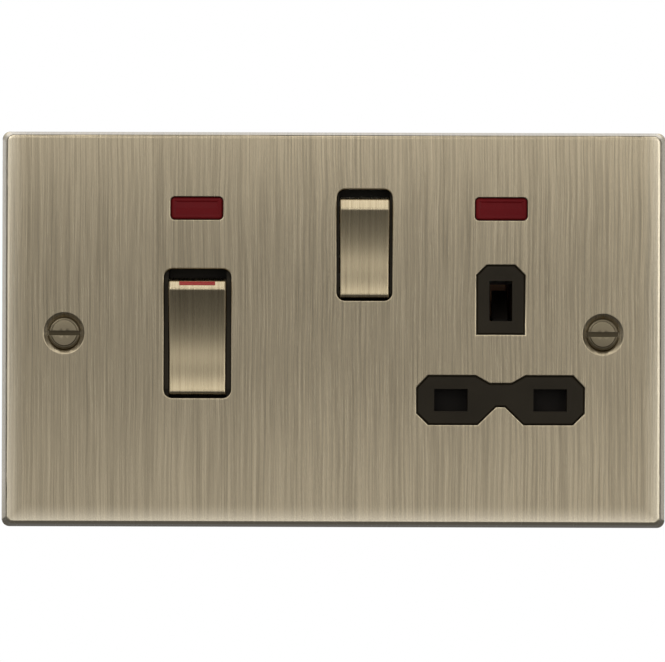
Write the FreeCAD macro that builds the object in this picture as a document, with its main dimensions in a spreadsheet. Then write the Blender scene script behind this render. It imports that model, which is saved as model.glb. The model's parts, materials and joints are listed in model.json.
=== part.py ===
import FreeCAD, Part
import math
import os
import re
import Sketcher
from FreeCAD import Placement, Rotation, Vector

# Cooker control unit: a two-gang wall plate with a double-pole cooker switch, a switched
# socket outlet and two neon indicators, with the mechanism and terminals behind it.
# +X is to the right as seen from the front, +Y goes into the wall and +Z is up. The wall's
# surface is at Y = 0, and the origin is midway between the two fixing screws.
# Lengths are in millimetres and angles in degrees.

SIZES = (
    # the pressed plate
    ("side_margin", 14.2, "fixing screw to the plate's side"),
    ("plate_lift", 0.9, "middle of the plate above the line of the fixing screws"),
    ("plate_depth", 4.0, "front face to wall"),
    ("plate_sheet", 1.2, "thickness of the pressed sheet"),
    ("rim_flare", 1.8, "how far the rim stands outside the front face"),
    ("rim_corner", 2.0, "corner radius of the plate"),
    ("face_round", 1.2, "rolled edge of the front face"),
    ("aperture_round", 0.3, "softened front edge of each aperture"),
    ("dimple_radius", 4.65, "mouth of the pressed dimple round a fixing screw"),
    ("dimple_neck", 1.9, "clearance hole at the bottom of the dimple"),
    ("dimple_wall", 1.2, "metal outside the dimple's cone"),
    ("dimple_floor", 0.9, "metal below the dimple's cone"),
    ("stud_inset", 19.0, "weld stud to the side of the moulding's panel"),
    ("stud_margin", 2.7, "weld stud to the panel's top and bottom"),
    ("stud_radius", 1.4, ""),
    ("stud_length", 2.6, "weld stud behind the sheet, short of the wall"),
    ("washer_radius", 2.2, "push-on fastener"),
    ("washer_gauge", 0.7, ""),
    # the fixing screws
    ("head_radius", 3.55, "raised countersunk head"),
    ("head_rise", 0.8, "crown of the head above its edge"),
    ("head_edge", 0.15, "straight edge of the head"),
    ("head_slot", 1.1, "width of the driver slot"),
    ("head_slot_depth", 1.3, ""),
    ("neck_radius", 1.55, "plain neck under the head"),
    ("thread_radius", 1.75, "M3.5 thread"),
    ("thread_length", 18.0, "beyond the wall plane"),
    ("seat_gap", 0.03, "head to dimple"),
    ("overcut", 1.0, "how far a cut runs past what it cuts"),
    # the apertures and the pitches between them
    ("cooker_margin", 29.84, "left fixing screw to the middle of the cooker rocker"),
    ("switch_pitch", 37.34, "cooker rocker to the socket's rocker"),
    ("cooker_hole_width", 15.0, ""),
    ("cooker_hole_height", 28.9, ""),
    ("outlet_hole_width", 12.4, ""),
    ("outlet_hole_height", 24.9, ""),
    ("outlet_hole_inset", 1.15, "top of the hole below the housing's top"),
    ("rocker_hole_corner", 1.9, ""),
    ("cooker_neon_left", 0.2, "neon left of the cooker rocker's middle"),
    ("outlet_neon_right", 0.06, "neon right of the socket's middle"),
    ("neon_inset", 5.5, "neons below the housing's top"),
    ("neon_width", 11.7, ""),
    ("neon_height", 5.0, ""),
    ("neon_corner", 0.95, ""),
    # the socket outlet's face
    ("pin_row_z", -14.75, "line and neutral pins"),
    ("earth_drop", 22.2, "earth pin above the line and neutral pins"),
    ("pin_spread", 11.1, "line and neutral pins from the middle"),
    ("pin_slot_width", 7.5, ""),
    ("pin_slot_height", 5.0, ""),
    ("earth_slot_width", 5.1, ""),
    ("earth_slot_height", 9.0, ""),
    ("boss_side", 2.8, "earth boss beside its slot"),
    ("boss_above", 3.4, ""),
    ("boss_below", 2.95, ""),
    ("bow_side", 3.85, "bow-shaped insert beside the pin slots"),
    ("bow_above", 2.85, ""),
    ("bow_below", 2.93, ""),
    ("earth_boss_cut_x", 2.3, "chamfered top corner"),
    ("earth_boss_cut_z", 2.2, ""),
    ("bow_cut", 2.6, "chamfered corner"),
    ("bow_waist_top", 3.6, ""),
    ("bow_waist_top_half", 2.5, "half the flat of the upper waist"),
    ("bow_waist_top_reach", 5.6, ""),
    ("bow_waist_base", 1.4, ""),
    ("bow_waist_base_half", 1.0, ""),
    ("bow_waist_base_reach", 5.15, ""),
    ("insert_gap", 0.1, "insert to plate"),
    ("insert_bevel", 0.3, ""),
    # the moulding behind the plate
    ("panel_side", 10.5, "plate's side to the side of the panel"),
    ("panel_end", 4.35, "plate's top to the panel's top"),
    ("panel_beyond", 6.5, "panel above and below the housing"),
    ("panel_gauge", 2.0, ""),
    ("notch_gap", 0.75, "panel clear of the dimples, above and below"),
    ("notch_end_gap", 0.85, "and towards the middle"),
    ("cooker_lip", 1.0, "lip at each side of the cooker rocker's well"),
    ("outlet_lip", 0.5, ""),
    ("outlet_well_taller", 0.7, "well above its hole in the plate"),
    ("lip_rise", 0.7, "side lips of each well, in front of the sheet's back"),
    ("cheek_gauge", 1.8, "bearing cheek of a rocker"),
    ("cheek_height", 9.0, ""),
    ("cheek_beyond", 3.4, "cheek behind the pivot"),
    ("cheek_end_gap", 0.07, "trunnion short of the cheek's outside"),
    ("trunnion_radius", 2.0, ""),
    ("trunnion_gap", 0.05, "running clearance of each trunnion and pin"),
    ("post_inset", 6.1, "housing screw to the housing's side"),
    ("post_end_inset", 5.1, "housing screw to the housing's top"),
    ("post_radius", 3.0, ""),
    ("post_end", 10.0, "where the moulding's posts meet the housing's"),
    ("pilot_radius", 1.45, ""),
    ("pilot_start", 3.0, ""),
    ("pilot_spare", 1.5, "hole beyond the end of each housing screw"),
    ("guide_gauge", 1.1, "shutter guides"),
    ("guide_depth", 1.9, ""),
    ("shelf_inset", 2.9, "seat of the shutter's spring to the housing's end"),
    ("shelf_half", 4.0, ""),
    ("shelf_gauge", 0.9, ""),
    ("lens_flange", 1.0, "flange round a neon lens"),
    ("lens_flange_gauge", 0.9, ""),
    ("lens_proud", 0.15, "lens in front of the plate"),
    ("lens_gap", 0.12, ""),
    ("lens_edge", 0.35, ""),
    ("lens_seat", 0.02, "lens flange behind the sheet"),
    ("strap_gap", 0.5, "beside the earth strap where it passes the panel"),
    ("strap_end_gap", 0.6, "above and below the strap's foot"),
    # the rear housing
    ("housing_wall", 2.0, ""),
    ("jaw_room", 2.85, "line contact to the housing's side"),
    ("strip_side", 1.0, "line strip to the housing's notch"),
    ("lug_room", 6.8, "housing's notch from the fixing screw"),
    ("block_gap", 0.1, "terminals to the housing's ends"),
    ("housing_notch_half", 7.2, ""),
    ("housing_round", 1.5, ""),
    ("rib_gauge", 1.0, ""),
    ("pole_rib_gauge", 1.2, "barrier between the two poles"),
    ("pole_rib_front", 14.0, ""),
    ("rib_room", 2.9, "cooker terminal to the rib of its cell"),
    ("outlet_cell", 2.12, "bearing cheek to the rib of the socket's cell"),
    ("earth_room", 1.3, "that rib to the supply earth terminal"),
    ("load_room", 0.2, "cooker cell's rib to the load earth terminal"),
    ("strap_room", 4.95, "earth strap to the socket's neon"),
    ("relief_gap", 1.1, "room in the housing's top wall for the socket's rocker"),
    ("relief_depth", 2.8, ""),
    ("rib_front", 2.0, ""),
    ("window_inset", 2.0, "top of the cooker cell's rib below the terminals"),
    ("channel_gap", 0.4, "round the neutral bar where it passes a rib"),
    ("shank_radius", 1.4, "housing screws"),
    ("shank_gap", 0.4, ""),
    ("pan_radius", 2.5, ""),
    ("pan_height", 1.8, ""),
    ("pan_sink", 2.2, ""),
    # the terminals
    ("line_reach", 5.76, "cooker line terminals from the middle of the cooker switch"),
    ("neutral_reach", 5.74, "cooker neutral terminals from the middle of the cooker switch"),
    ("block_width", 9.6, ""),
    ("block_length", 11.0, ""),
    ("block_edge", 0.4, ""),
    ("block_rise", 4.0, "front of each terminal from the middle of its cable hole"),
    ("bore_inset", 8.0, "cable holes in front of the housing's rear wall"),
    ("wire_bore", 3.25, "radius of the cable hole"),
    ("wire_entry", 3.7, "hole in the housing"),
    ("clamp_radius", 2.4, "clamp screw"),
    ("clamp_tip_gap", 0.35, "tip of a backed-out clamp screw behind the cable hole"),
    ("clamp_beyond", 1.2, "clamp screw's end in the rear wall"),
    ("clamp_gap", 0.05, ""),
    ("clamp_slot", 0.9, ""),
    ("access_radius", 3.0, ""),
    # the strips
    ("strip_width", 4.0, ""),
    ("strip_gauge", 1.0, ""),
    ("bar_gap", 1.0, "between crossing strips"),
    ("link_room", 2.8, "neutral bar to the upper terminals"),
    ("link_width", 3.6, ""),
    ("feed_inset", 5.0, "line bar above the terminals' inner ends"),
    ("drop_rise", 6.75, "line strip's bend above the pin row"),
    ("earth_bar_width", 5.0, ""),
    ("earth_bar_drop", 0.45, "earth bar below the earth pin"),
    ("link_low", 14.0, "neutral bar, on the rear wall"),
    # the see-saw arms
    ("pole_spread", 4.0, "each pole from the middle of the cooker switch"),
    ("arm_behind_pivot", 13.2, "pivot of the arms behind the rockers' pivot"),
    ("arm_room", 4.0, "arms' pivot to the strips behind it"),
    ("arm_half", 8.5, ""),
    ("arm_width", 4.4, ""),
    ("arm_gauge", 1.0, ""),
    ("arm_pin", 0.9, ""),
    ("arm_tilt", 10.0, "half the swing of an arm"),
    ("tip_reach", 7.3, "contact tip from the arm's pivot"),
    ("tip_radius", 1.5, ""),
    ("tip_height", 0.7, ""),
    ("contact_gap", 0.2, "closed contacts, kept apart by this much"),
    ("ear_gap", 0.2, "arm to ear"),
    ("ear_gauge", 0.8, ""),
    ("ear_half", 1.9, ""),
    ("base_above", 3.5, "bracket's base above the pivot"),
    ("strip_clear", 5.4, "lower end of a fixed contact above the pivot"),
    # the rockers, about their own pivot
    ("pivot_y", 4.8, ""),
    ("rocker_tilt", 7.0, "half the travel"),
    ("front_reach", 10.4, "front edges in front of the pivot"),
    ("wall_reach", 7.0, "where the sloping end walls turn straight"),
    ("skirt_reach", 5.6, "back edge of the cap"),
    ("dish_radius", 55.0, "hollow of the front"),
    ("cap_gauge", 0.6, ""),
    ("cap_turn", 0.8, "rounded ends of the front and of the end walls"),
    ("cap_round", 0.5, "rounded long edges of the front"),
    ("core_gap", 0.05, ""),
    ("cap_side_gap", 0.35, "cap to the side of its well"),
    ("cooker_end_gap", 1.25, "end walls short of the hole in the plate"),
    ("cooker_end_slope", 1.35, "front edge behind the end wall"),
    ("outlet_end_gap", 0.85, ""),
    ("outlet_end_slope", 2.2, ""),
    ("core_back", 3.0, "back of the core's body in front of the pivot"),
    ("hub_half", 3.6, ""),
    ("hub_flare", 2.0, ""),
    ("hub_back", 2.0, ""),
    ("leg_half_width", 1.8, ""),
    ("leg_half", 2.0, ""),
    ("spring_start", 2.6, ""),
    ("spring_room", 3.6, ""),
    ("leg_beyond", 2.4, "leg beyond the plunger's seat"),
    ("plunger_short", 1.25, "plunger's tip in front of the arms' pivot"),
    ("plunger_radius", 1.1, ""),
    ("plunger_gap", 0.05, ""),
    ("spring_wire", 0.3, "width of a spring's wire"),
    ("spring_gap", 0.1, "spring to its seats"),
    ("strip_on_width", 8.0, "red strip in the cooker rocker's upper end"),
    ("strip_on_low", 0.9, "strip from the turn of the end wall"),
    ("strip_on_high", 2.9, ""),
    ("strip_on_depth", 0.9, ""),
    ("strip_on_gap", 0.08, ""),
    # the socket's inside
    ("shutter_front", -0.5, ""),
    ("shutter_gauge", 1.5, ""),
    ("shutter_overlap", 0.75, "shutter beyond the pin slots"),
    ("shutter_above", 3.75, "shutter above the pin row"),
    ("shutter_below", 3.85, "shutter below the pin row"),
    ("shutter_gap", 0.25, ""),
    ("tongue_half", 4.0, ""),
    ("ramp_half", 1.7, ""),
    ("ramp_below", 4.15, "ramp's foot below the earth pin"),
    ("ramp_above", 2.45, "ramp's top above the earth pin"),
    ("ramp_hook", 2.0, ""),
    ("ramp_root", 6.0, ""),
    ("ramp_reach", 6.0, "ramp's back"),
    ("tongue_drop", 1.0, "tongue's end below the ramp's foot"),
    ("shutter_spring_radius", 1.5, ""),
    ("shutter_wire", 0.45, ""),
    ("shutter_spring_back", 0.5, ""),
    ("jaw_gauge", 0.8, ""),
    ("jaw_gap", 2.05, "half the gap between a contact's jaws"),
    ("jaw_mouth", 2.8, ""),
    ("jaw_lead", 5.2, "where the flared mouth ends"),
    ("jaw_front", 3.6, ""),
    ("jaw_grip", 9.2, "depth of a contact's parallel jaws"),
    ("pole_jaw_width", 6.3, ""),
    ("earth_jaw_width", 7.9, ""),
    ("tail_half", 1.5, ""),
    ("strap_gauge", 0.8, ""),
    ("strap_foot", 3.0, ""),
    ("lamp_radius", 2.0, "neon lamp"),
    ("lamp_half", 4.2, ""),
    ("resistor_radius", 1.2, ""),
    ("resistor_half", 3.2, ""),
    ("lamp_gap", 0.2, ""),
)

# Sizes and places that follow from the sheet's
WORKED_OUT = {
    # across, from the left fixing screw to the right one
    "socket_pitch": "outlet_well_width / 2 + cheek_gauge + outlet_cell + rib_gauge + earth_room"
                    " + block_width / 2 + supply_pitch",
    "supply_pitch": "strip_width / 2 + strap_room + lens_flange + neon_width / 2",
    "outlet_margin": "pin_spread + strip_width / 2 + strip_side + housing_wall + lug_room",
    "screw_reach": "(cooker_margin + switch_pitch + socket_pitch + outlet_margin) / 2",
    "plate_width": "2 * (screw_reach + side_margin)",
    "cooker_x": "cooker_margin - screw_reach",
    "outlet_switch_x": "cooker_x + switch_pitch",
    "outlet_x": "screw_reach - outlet_margin",
    "cooker_neon_x": "cooker_x - cooker_neon_left",
    "outlet_neon_x": "outlet_x + outlet_neon_right",
    "line_terminal_x": "cooker_x + line_reach",
    "neutral_terminal_x": "cooker_x - neutral_reach",
    "cooker_rib_x": "line_terminal_x + block_width / 2 + rib_room",
    "load_earth_x": "cooker_rib_x + rib_gauge + load_room + block_width / 2",
    "supply_earth_x": "outlet_x - supply_pitch",
    "outlet_rib_x": "supply_earth_x - block_width / 2 - earth_room - rib_gauge",
    "housing_half_width": "outlet_x + pin_spread + pole_jaw_width / 2 + jaw_room + housing_wall",
    "housing_notch_x": "screw_reach - lug_room",
    "post_x": "housing_half_width - post_inset",
    "panel_half_width": "screw_reach + side_margin - panel_side",
    "panel_notch_x": "screw_reach - dimple_outer - notch_end_gap",
    "panel_notch_half": "dimple_outer + notch_gap",
    "dimple_outer": "dimple_radius + dimple_wall",
    "stud_across": "panel_half_width - stud_inset",
    "shutter_half": "pin_spread + pin_slot_width / 2 + shutter_overlap",
    "bow_reach": "pin_spread + pin_slot_width / 2 + bow_side",
    "earth_boss_width": "earth_slot_width + 2 * boss_side",
    # up, from the middle of the cooker rocker
    "link_high": "link_low + link_width",
    "block_inner": "link_high + link_room",
    "block_outer": "block_inner + block_length",
    "block_middle": "(block_inner + block_outer) / 2",
    "housing_half_height": "block_outer + block_gap + housing_wall",
    "panel_half_height": "housing_half_height + panel_beyond",
    "plate_height": "2 * (panel_half_height + panel_end)",
    "stud_up": "panel_half_height - stud_margin",
    "outlet_switch_z": "housing_half_height - outlet_hole_inset - outlet_hole_height / 2",
    "neon_z": "housing_half_height - neon_inset",
    "post_z": "housing_half_height - post_end_inset",
    "shelf_z": "shelf_inset - housing_half_height",
    "window_z": "block_inner - window_inset",
    "feed_low": "block_inner + feed_inset",
    "feed_high": "feed_low + strip_width",
    "earth_z": "pin_row_z + earth_drop",
    "earth_high": "earth_z - earth_bar_drop",
    "earth_low": "earth_high - earth_bar_width",
    "drop_low": "pin_row_z + drop_rise",
    "drop_high": "drop_low + strip_width",
    "bow_top": "pin_slot_height / 2 + bow_above",
    "bow_base": "pin_slot_height / 2 + bow_below",
    "earth_boss_top": "earth_slot_height / 2 + boss_above",
    "earth_boss_base": "earth_slot_height / 2 + boss_below",
    "shutter_top": "pin_row_z + shutter_above",
    "shutter_base": "pin_row_z - shutter_below",
    "ramp_foot": "earth_z - ramp_below",
    "ramp_top": "earth_z + ramp_above",
    # into the wall
    "face": "0 - plate_depth",
    "sheet_back": "plate_sheet - plate_depth",
    "panel_back": "sheet_back + panel_gauge",
    "arm_y": "pivot_y + arm_behind_pivot",
    "strip_front": "arm_y + arm_room",
    "link_front": "strip_front + strip_gauge + bar_gap",
    "earth_front": "strip_front - strip_gauge - bar_gap",
    "earth_base": "earth_front - strip_gauge",
    "housing_floor": "link_front + strip_gauge",
    "housing_back": "housing_floor + housing_wall",
    "wire_y": "housing_floor - bore_inset",
    "block_front": "wire_y - block_rise",
    "clamp_tip": "wire_y + wire_bore + clamp_tip_gap",
    "clamp_end": "housing_floor + clamp_beyond",
    "pole_base": "jaw_lead + jaw_grip",
    # the rockers
    "cooker_well_width": "cooker_hole_width - 2 * cooker_lip",
    "cooker_well_height": "cooker_hole_height - insert_gap",
    "outlet_well_width": "outlet_hole_width - 2 * outlet_lip",
    "outlet_well_height": "outlet_hole_height + outlet_well_taller",
    "cooker_cap_width": "cooker_well_width - 2 * cap_side_gap",
    "outlet_cap_width": "outlet_well_width - 2 * cap_side_gap",
    "cooker_wall_half": "cooker_hole_height / 2 - cooker_end_gap",
    "cooker_front_half": "cooker_wall_half - cooker_end_slope",
    "outlet_wall_half": "outlet_hole_height / 2 - outlet_end_gap",
    "outlet_front_half": "outlet_wall_half - outlet_end_slope",
    "plunger_start": "spring_start + spring_room",
    "leg_end": "plunger_start + leg_beyond",
    "plunger_end": "arm_behind_pivot - plunger_short",
}

doc = FreeCAD.newDocument("cooker_control_unit")
sheet = doc.addObject("Spreadsheet::Sheet", "Dims")
for row, (alias, number, note) in enumerate(SIZES, 1):
    sheet.set(f"A{row}", alias)
    sheet.set(f"B{row}", str(number))
    sheet.set(f"C{row}", note)
    sheet.setAlias(f"B{row}", alias)
doc.recompute()

CELLS = {alias for alias, _, _ in SIZES}
WORD = re.compile(r"[a-z][a-z_0-9]*")
CLOSE = 0.01
parts = []


def spelled(found):
    """A cell's full name, or the rule that a worked-out size stands for."""
    word = found.group()
    if word in CELLS:
        return "Dims." + word
    if word in WORKED_OUT:
        return "(" + WORD.sub(spelled, WORKED_OUT[word]) + ")"
    return word


def bind(item, prop, rule):
    """Tie a property to the sheet; a rule names cells and worked-out sizes by their words alone."""
    item.setExpression(prop, WORD.sub(spelled, rule))


def worth(rule):
    """The number that a rule comes to."""
    probe = doc.addObject("Part::Vertex", "probe")
    bind(probe, "X", rule)
    probe.recompute()
    number = probe.X.Value
    doc.removeObject(probe.Name)
    return number


def keep(item, name):
    """Count a finished object as a sub-part, under the name that its file gets."""
    item.Label = name
    parts.append(item)
    return item


def new_body(name):
    return keep(doc.addObject("PartDesign::Body", name), name)


def origin_plane(body, role):
    return next(item for item in body.Origin.OriginFeatures if item.Role == role)


def sketch(body, name, plane, level="0"):
    """A sketch on one of the body's own planes, moved along the plane's normal."""
    made = body.newObject("Sketcher::SketchObject", name)
    made.AttachmentSupport = (origin_plane(body, plane), [""])
    made.MapMode = "FlatFace"
    bind(made, ".AttachmentOffset.Base.z", level)
    return made


def draw(profile, corners):
    """Add a closed outline whose corners are placed by rules."""
    count = len(corners)
    first = profile.GeometryCount
    turn = 2 * math.pi / count
    ring = [Vector(math.cos(turn * i), math.sin(turn * i), 0) for i in range(count)]
    for i in range(count):
        profile.addGeometry(Part.LineSegment(ring[i], ring[(i + 1) % count]), False)
    for i in range(count):
        profile.addConstraint(Sketcher.Constraint("Coincident", first + i, 2, first + (i + 1) % count, 1))
    for i, (across, up) in enumerate(corners):
        for kind, rule, number in (("DistanceX", across, ring[i].x), ("DistanceY", up, ring[i].y)):
            index = profile.addConstraint(Sketcher.Constraint(kind, -1, 1, first + i, 1, number))
            bind(profile, f"Constraints[{index}]", rule)


def circle(profile, across, up, radius):
    index = profile.addGeometry(Part.Circle(Vector(1, 1, 0), Vector(0, 0, 1), 1), False)
    for kind, rule in (("DistanceX", across), ("DistanceY", up)):
        place = profile.addConstraint(Sketcher.Constraint(kind, -1, 1, index, 3, 1))
        bind(profile, f"Constraints[{place}]", rule)
    size = profile.addConstraint(Sketcher.Constraint("Radius", index, 1))
    bind(profile, f"Constraints[{size}]", radius)


def rectangle(across, up, width, height):
    left, right = f"{across} - ({width}) / 2", f"{across} + ({width}) / 2"
    low, high = f"{up} - ({height}) / 2", f"{up} + ({height}) / 2"
    return [(left, low), (right, low), (right, high), (left, high)]


def span(left, right, low, high):
    return [(left, low), (right, low), (right, high), (left, high)]


def slab(body, name, outlines, front, back):
    """Add material over outlines in the wall's plane, from one depth to a deeper one."""
    profile = sketch(body, name + "_outline", "XZ_Plane", f"0 - ({front})")
    for corners in outlines:
        draw(profile, corners)
    pad = body.newObject("PartDesign::Pad", name)
    pad.Profile = profile
    pad.Reversed = True
    bind(pad, "Length", f"({back}) - ({front})")
    return pad


def recess(body, name, outlines, front, back):
    """Cut outlines in the wall's plane, from one depth to a deeper one."""
    profile = sketch(body, name + "_outline", "XZ_Plane", f"0 - ({front})")
    for corners in outlines:
        draw(profile, corners)
    pocket = body.newObject("PartDesign::Pocket", name)
    pocket.Profile = profile
    bind(pocket, "Length", f"({back}) - ({front})")
    return pocket


def holes(body, name, places, radius, front, back):
    """Cut round holes along Y, from one depth to a deeper one."""
    profile = sketch(body, name + "_places", "XZ_Plane", f"0 - ({front})")
    for across, up in places:
        circle(profile, across, up, radius)
    pocket = body.newObject("PartDesign::Pocket", name)
    pocket.Profile = profile
    bind(pocket, "Length", f"({back}) - ({front})")
    return pocket


def pegs(body, name, places, radius, front, back):
    """Add round posts along Y, from one depth to a deeper one."""
    profile = sketch(body, name + "_places", "XZ_Plane", f"0 - ({front})")
    for across, up in places:
        circle(profile, across, up, radius)
    pad = body.newObject("PartDesign::Pad", name)
    pad.Profile = profile
    pad.Reversed = True
    bind(pad, "Length", f"({back}) - ({front})")
    return pad


def side_pad(body, name, corners, width, middle="0"):
    """Add a side profile, drawn in Y and Z, over a width along X."""
    profile = sketch(body, name + "_profile", "YZ_Plane", middle)
    draw(profile, corners)
    pad = body.newObject("PartDesign::Pad", name)
    pad.Profile = profile
    pad.Midplane = True
    bind(pad, "Length", width)
    return pad


def side_round(body, name, depth, up, radius, width, middle="0", cut=False):
    """Add or cut a round bar along X."""
    profile = sketch(body, name + "_profile", "YZ_Plane", middle)
    circle(profile, depth, up, radius)
    made = body.newObject("PartDesign::Pocket" if cut else "PartDesign::Pad", name)
    made.Profile = profile
    made.Midplane = True
    bind(made, "Length", width)
    return made


def soften(body, name, radius, chosen, kind="Fillet"):
    """Round or bevel the edges that a test picks from the body as it stands."""
    doc.recompute()
    base = body.Tip
    edges = [f"Edge{i}" for i, edge in enumerate(base.Shape.Edges, 1) if chosen(edge)]
    dress = body.newObject("PartDesign::" + kind, name)
    dress.Base = (base, edges)
    bind(dress, "Radius" if kind == "Fillet" else "Size", radius)
    return dress


def runs_along(edge, axis):
    """Whether an edge is straight and runs along X, Y or Z."""
    box = edge.BoundBox
    sizes = {"X": box.XLength, "Y": box.YLength, "Z": box.ZLength}
    return all((sizes[name] > CLOSE) == (name == axis) for name in sizes)


def lies_at(edge, y):
    """Whether an edge lies wholly at one depth."""
    return abs(edge.BoundBox.YMin - y) < CLOSE and abs(edge.BoundBox.YMax - y) < CLOSE


def turn(body, stations):
    """Turn a half outline about Y: stations are radius and depth pairs, from the axis back to it."""
    profile = sketch(body, body.Name + "_half", "XY_Plane")
    draw(profile, stations)
    spin = body.newObject("PartDesign::Revolution", body.Name + "_turned")
    spin.Profile = profile
    spin.ReferenceAxis = (profile, ["V_Axis"])
    return spin


def turned(name, stations, across, up, depth="0"):
    body = doc.addObject("PartDesign::Body", name)
    turn(body, stations)
    place(body, across, depth, up)
    return body


def place(item, across, depth, up):
    for axis, rule in zip("xyz", (across, depth, up)):
        bind(item, f"Placement.Base.{axis}", rule)


def group(name, members):
    """Several like solids kept as one sub-part."""
    made = doc.addObject("Part::Compound", name)
    made.Links = members
    return keep(made, name)


# Outlines that the plate and the moulding share
def earth_outline(grow):
    half = f"(earth_boss_width / 2 + {grow})"
    top = f"(earth_z + earth_boss_top + {grow})"
    base = f"(earth_z - earth_boss_base - {grow})"
    return [(f"outlet_x - {half}", base), (f"outlet_x + {half}", base),
            (f"outlet_x + {half}", f"{top} - earth_boss_cut_z"),
            (f"outlet_x + {half} - earth_boss_cut_x", top),
            (f"outlet_x - {half} + earth_boss_cut_x", top),
            (f"outlet_x - {half}", f"{top} - earth_boss_cut_z")]


def bow_outline(grow):
    reach, top = f"(bow_reach + {grow})", f"(pin_row_z + bow_top + {grow})"
    base = f"(pin_row_z - bow_base - {grow})"
    waist_top = f"(pin_row_z + bow_waist_top + {grow})"
    waist_base = f"(pin_row_z - bow_waist_base - {grow})"
    right = [("bow_waist_base_half", waist_base), ("bow_waist_base_reach", base),
             (f"{reach} - bow_cut", base), (reach, f"{base} + bow_cut"),
             (reach, f"{top} - bow_cut"), (f"{reach} - bow_cut", top),
             ("bow_waist_top_reach", top), ("bow_waist_top_half", waist_top)]
    left = [(f"0 - ({across})", up) for across, up in reversed(right)]
    return [(f"outlet_x + ({across})", up) for across, up in right + left]


def notched(half_width, half_height, lift, notch, notch_half):
    """A rectangle with a notch at the middle of each short side."""
    right = [(half_width, f"{lift} - {half_height}"), (half_width, f"0 - {notch_half}"),
             (notch, f"0 - {notch_half}"), (notch, notch_half),
             (half_width, notch_half), (half_width, f"{lift} + {half_height}")]
    left = [(f"0 - ({across})", up) for across, up in reversed(right)]
    return right + left


ROCKER_HOLES = [rectangle("cooker_x", "0", "cooker_hole_width", "cooker_hole_height"),
                rectangle("outlet_switch_x", "outlet_switch_z", "outlet_hole_width", "outlet_hole_height")]
NEONS = ("cooker_neon_x", "outlet_neon_x")
PIN_PLACES = ("outlet_x - pin_spread", "outlet_x + pin_spread")
POSTS = [(f"{side} post_x", f"{level} post_z") for side in ("0 -", "0 +") for level in ("0 -", "0 +")]
STUDS = [(f"{side} stud_across", f"plate_lift {level} stud_up") for side in ("0 -", "0 +") for level in "-+"]


def front_plate():
    body = new_body("front_plate")
    front, reach = worth("face"), worth("screw_reach")
    rim = sketch(body, "rim", "XZ_Plane")
    draw(rim, rectangle("0", "plate_lift", "plate_width", "plate_height"))
    tray = body.newObject("PartDesign::Pad", "tray")
    tray.Profile = rim
    bind(tray, "Length", "plate_depth")
    bind(tray, "TaperAngle", "-atan(rim_flare / plate_depth)")
    soften(body, "plate_corners", "rim_corner", lambda edge: edge.BoundBox.YLength > CLOSE)
    soften(body, "rolled_edge", "face_round", lambda edge: lies_at(edge, front))
    inside = sketch(body, "inside", "XZ_Plane")
    wall = "2 * plate_sheet / cos(atan(rim_flare / plate_depth))"
    draw(inside, rectangle("0", "plate_lift", f"plate_width - {wall}", f"plate_height - {wall}"))
    hollow = body.newObject("PartDesign::Pocket", "hollow")
    hollow.Profile = inside
    hollow.Reversed = True
    bind(hollow, "Length", "plate_depth - plate_sheet")
    bind(hollow, "TaperAngle", "-atan(rim_flare / plate_depth)")
    # The dimples are pressed, so the metal stands out behind as a cone.
    neck_y = "(face + dimple_radius - dimple_neck)"
    outer = "dimple_outer"
    floor_y = f"({neck_y} + dimple_floor)"
    boss_profile = sketch(body, "dimple_metal", "XY_Plane")
    draw(boss_profile, [("screw_reach", "sheet_back"), (f"screw_reach + {outer}", "sheet_back"),
                        (f"screw_reach + {outer} - ({floor_y} - sheet_back)", floor_y),
                        ("screw_reach", floor_y)])
    boss_profile.addGeometry(Part.LineSegment(Vector(reach, front, 0), Vector(reach, -front, 0)), True)
    metal = body.newObject("PartDesign::Revolution", "dimple_back")
    metal.Profile = boss_profile
    cone_profile = sketch(body, "dimple_cone", "XY_Plane")
    draw(cone_profile, [("screw_reach", "face"), ("screw_reach + dimple_radius", "face"),
                        ("screw_reach + dimple_neck", neck_y), ("screw_reach + dimple_neck", floor_y),
                        ("screw_reach", floor_y)])
    cone_profile.addGeometry(Part.LineSegment(Vector(reach, front, 0), Vector(reach, -front, 0)), True)
    cone = body.newObject("PartDesign::Groove", "dimple_front")
    cone.Profile = cone_profile
    for profile, feature in ((boss_profile, metal), (cone_profile, cone)):
        axis = profile.GeometryCount - 1
        for end in (1, 2):
            index = profile.addConstraint(Sketcher.Constraint("DistanceX", -1, 1, axis, end, reach))
            bind(profile, f"Constraints[{index}]", "screw_reach")
        feature.ReferenceAxis = (profile, ["Axis0"])
    doc.recompute()
    both = body.newObject("PartDesign::Mirrored", "both_dimples")
    both.Originals = [metal, cone]
    both.MirrorPlane = (origin_plane(body, "YZ_Plane"), [""])
    body.Tip = both
    neon_holes = [rectangle(neon, "neon_z", "neon_width", "neon_height") for neon in NEONS]
    openings = ROCKER_HOLES + neon_holes + [earth_outline("insert_gap"), bow_outline("insert_gap")]
    cut = recess(body, "apertures", openings, "face", "sheet_back")
    doc.recompute()
    corners = [line.StartPoint for line in cut.Profile[0].Geometry]

    def corner_of(points):
        def test(edge):
            middle = edge.CenterOfMass
            near = any(abs(middle.x - point.x) < CLOSE and abs(middle.z - point.y) < CLOSE for point in points)
            return runs_along(edge, "Y") and near
        return test

    rocker_corners = sum(len(hole) for hole in ROCKER_HOLES)
    neon_corners = rocker_corners + sum(len(hole) for hole in neon_holes)
    soften(body, "rocker_hole_corners", "rocker_hole_corner", corner_of(corners[:rocker_corners]))
    soften(body, "neon_corners", "neon_corner", corner_of(corners[rocker_corners:neon_corners]))
    inner = worth("screw_reach + dimple_outer")
    soften(body, "aperture_edges", "aperture_round",
           lambda edge: lies_at(edge, front) and abs(edge.CenterOfMass.x) < inner and edge.Length < reach)
    pegs(body, "weld_studs", STUDS, "stud_radius", "sheet_back", "sheet_back + stud_length")
    return body


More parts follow.
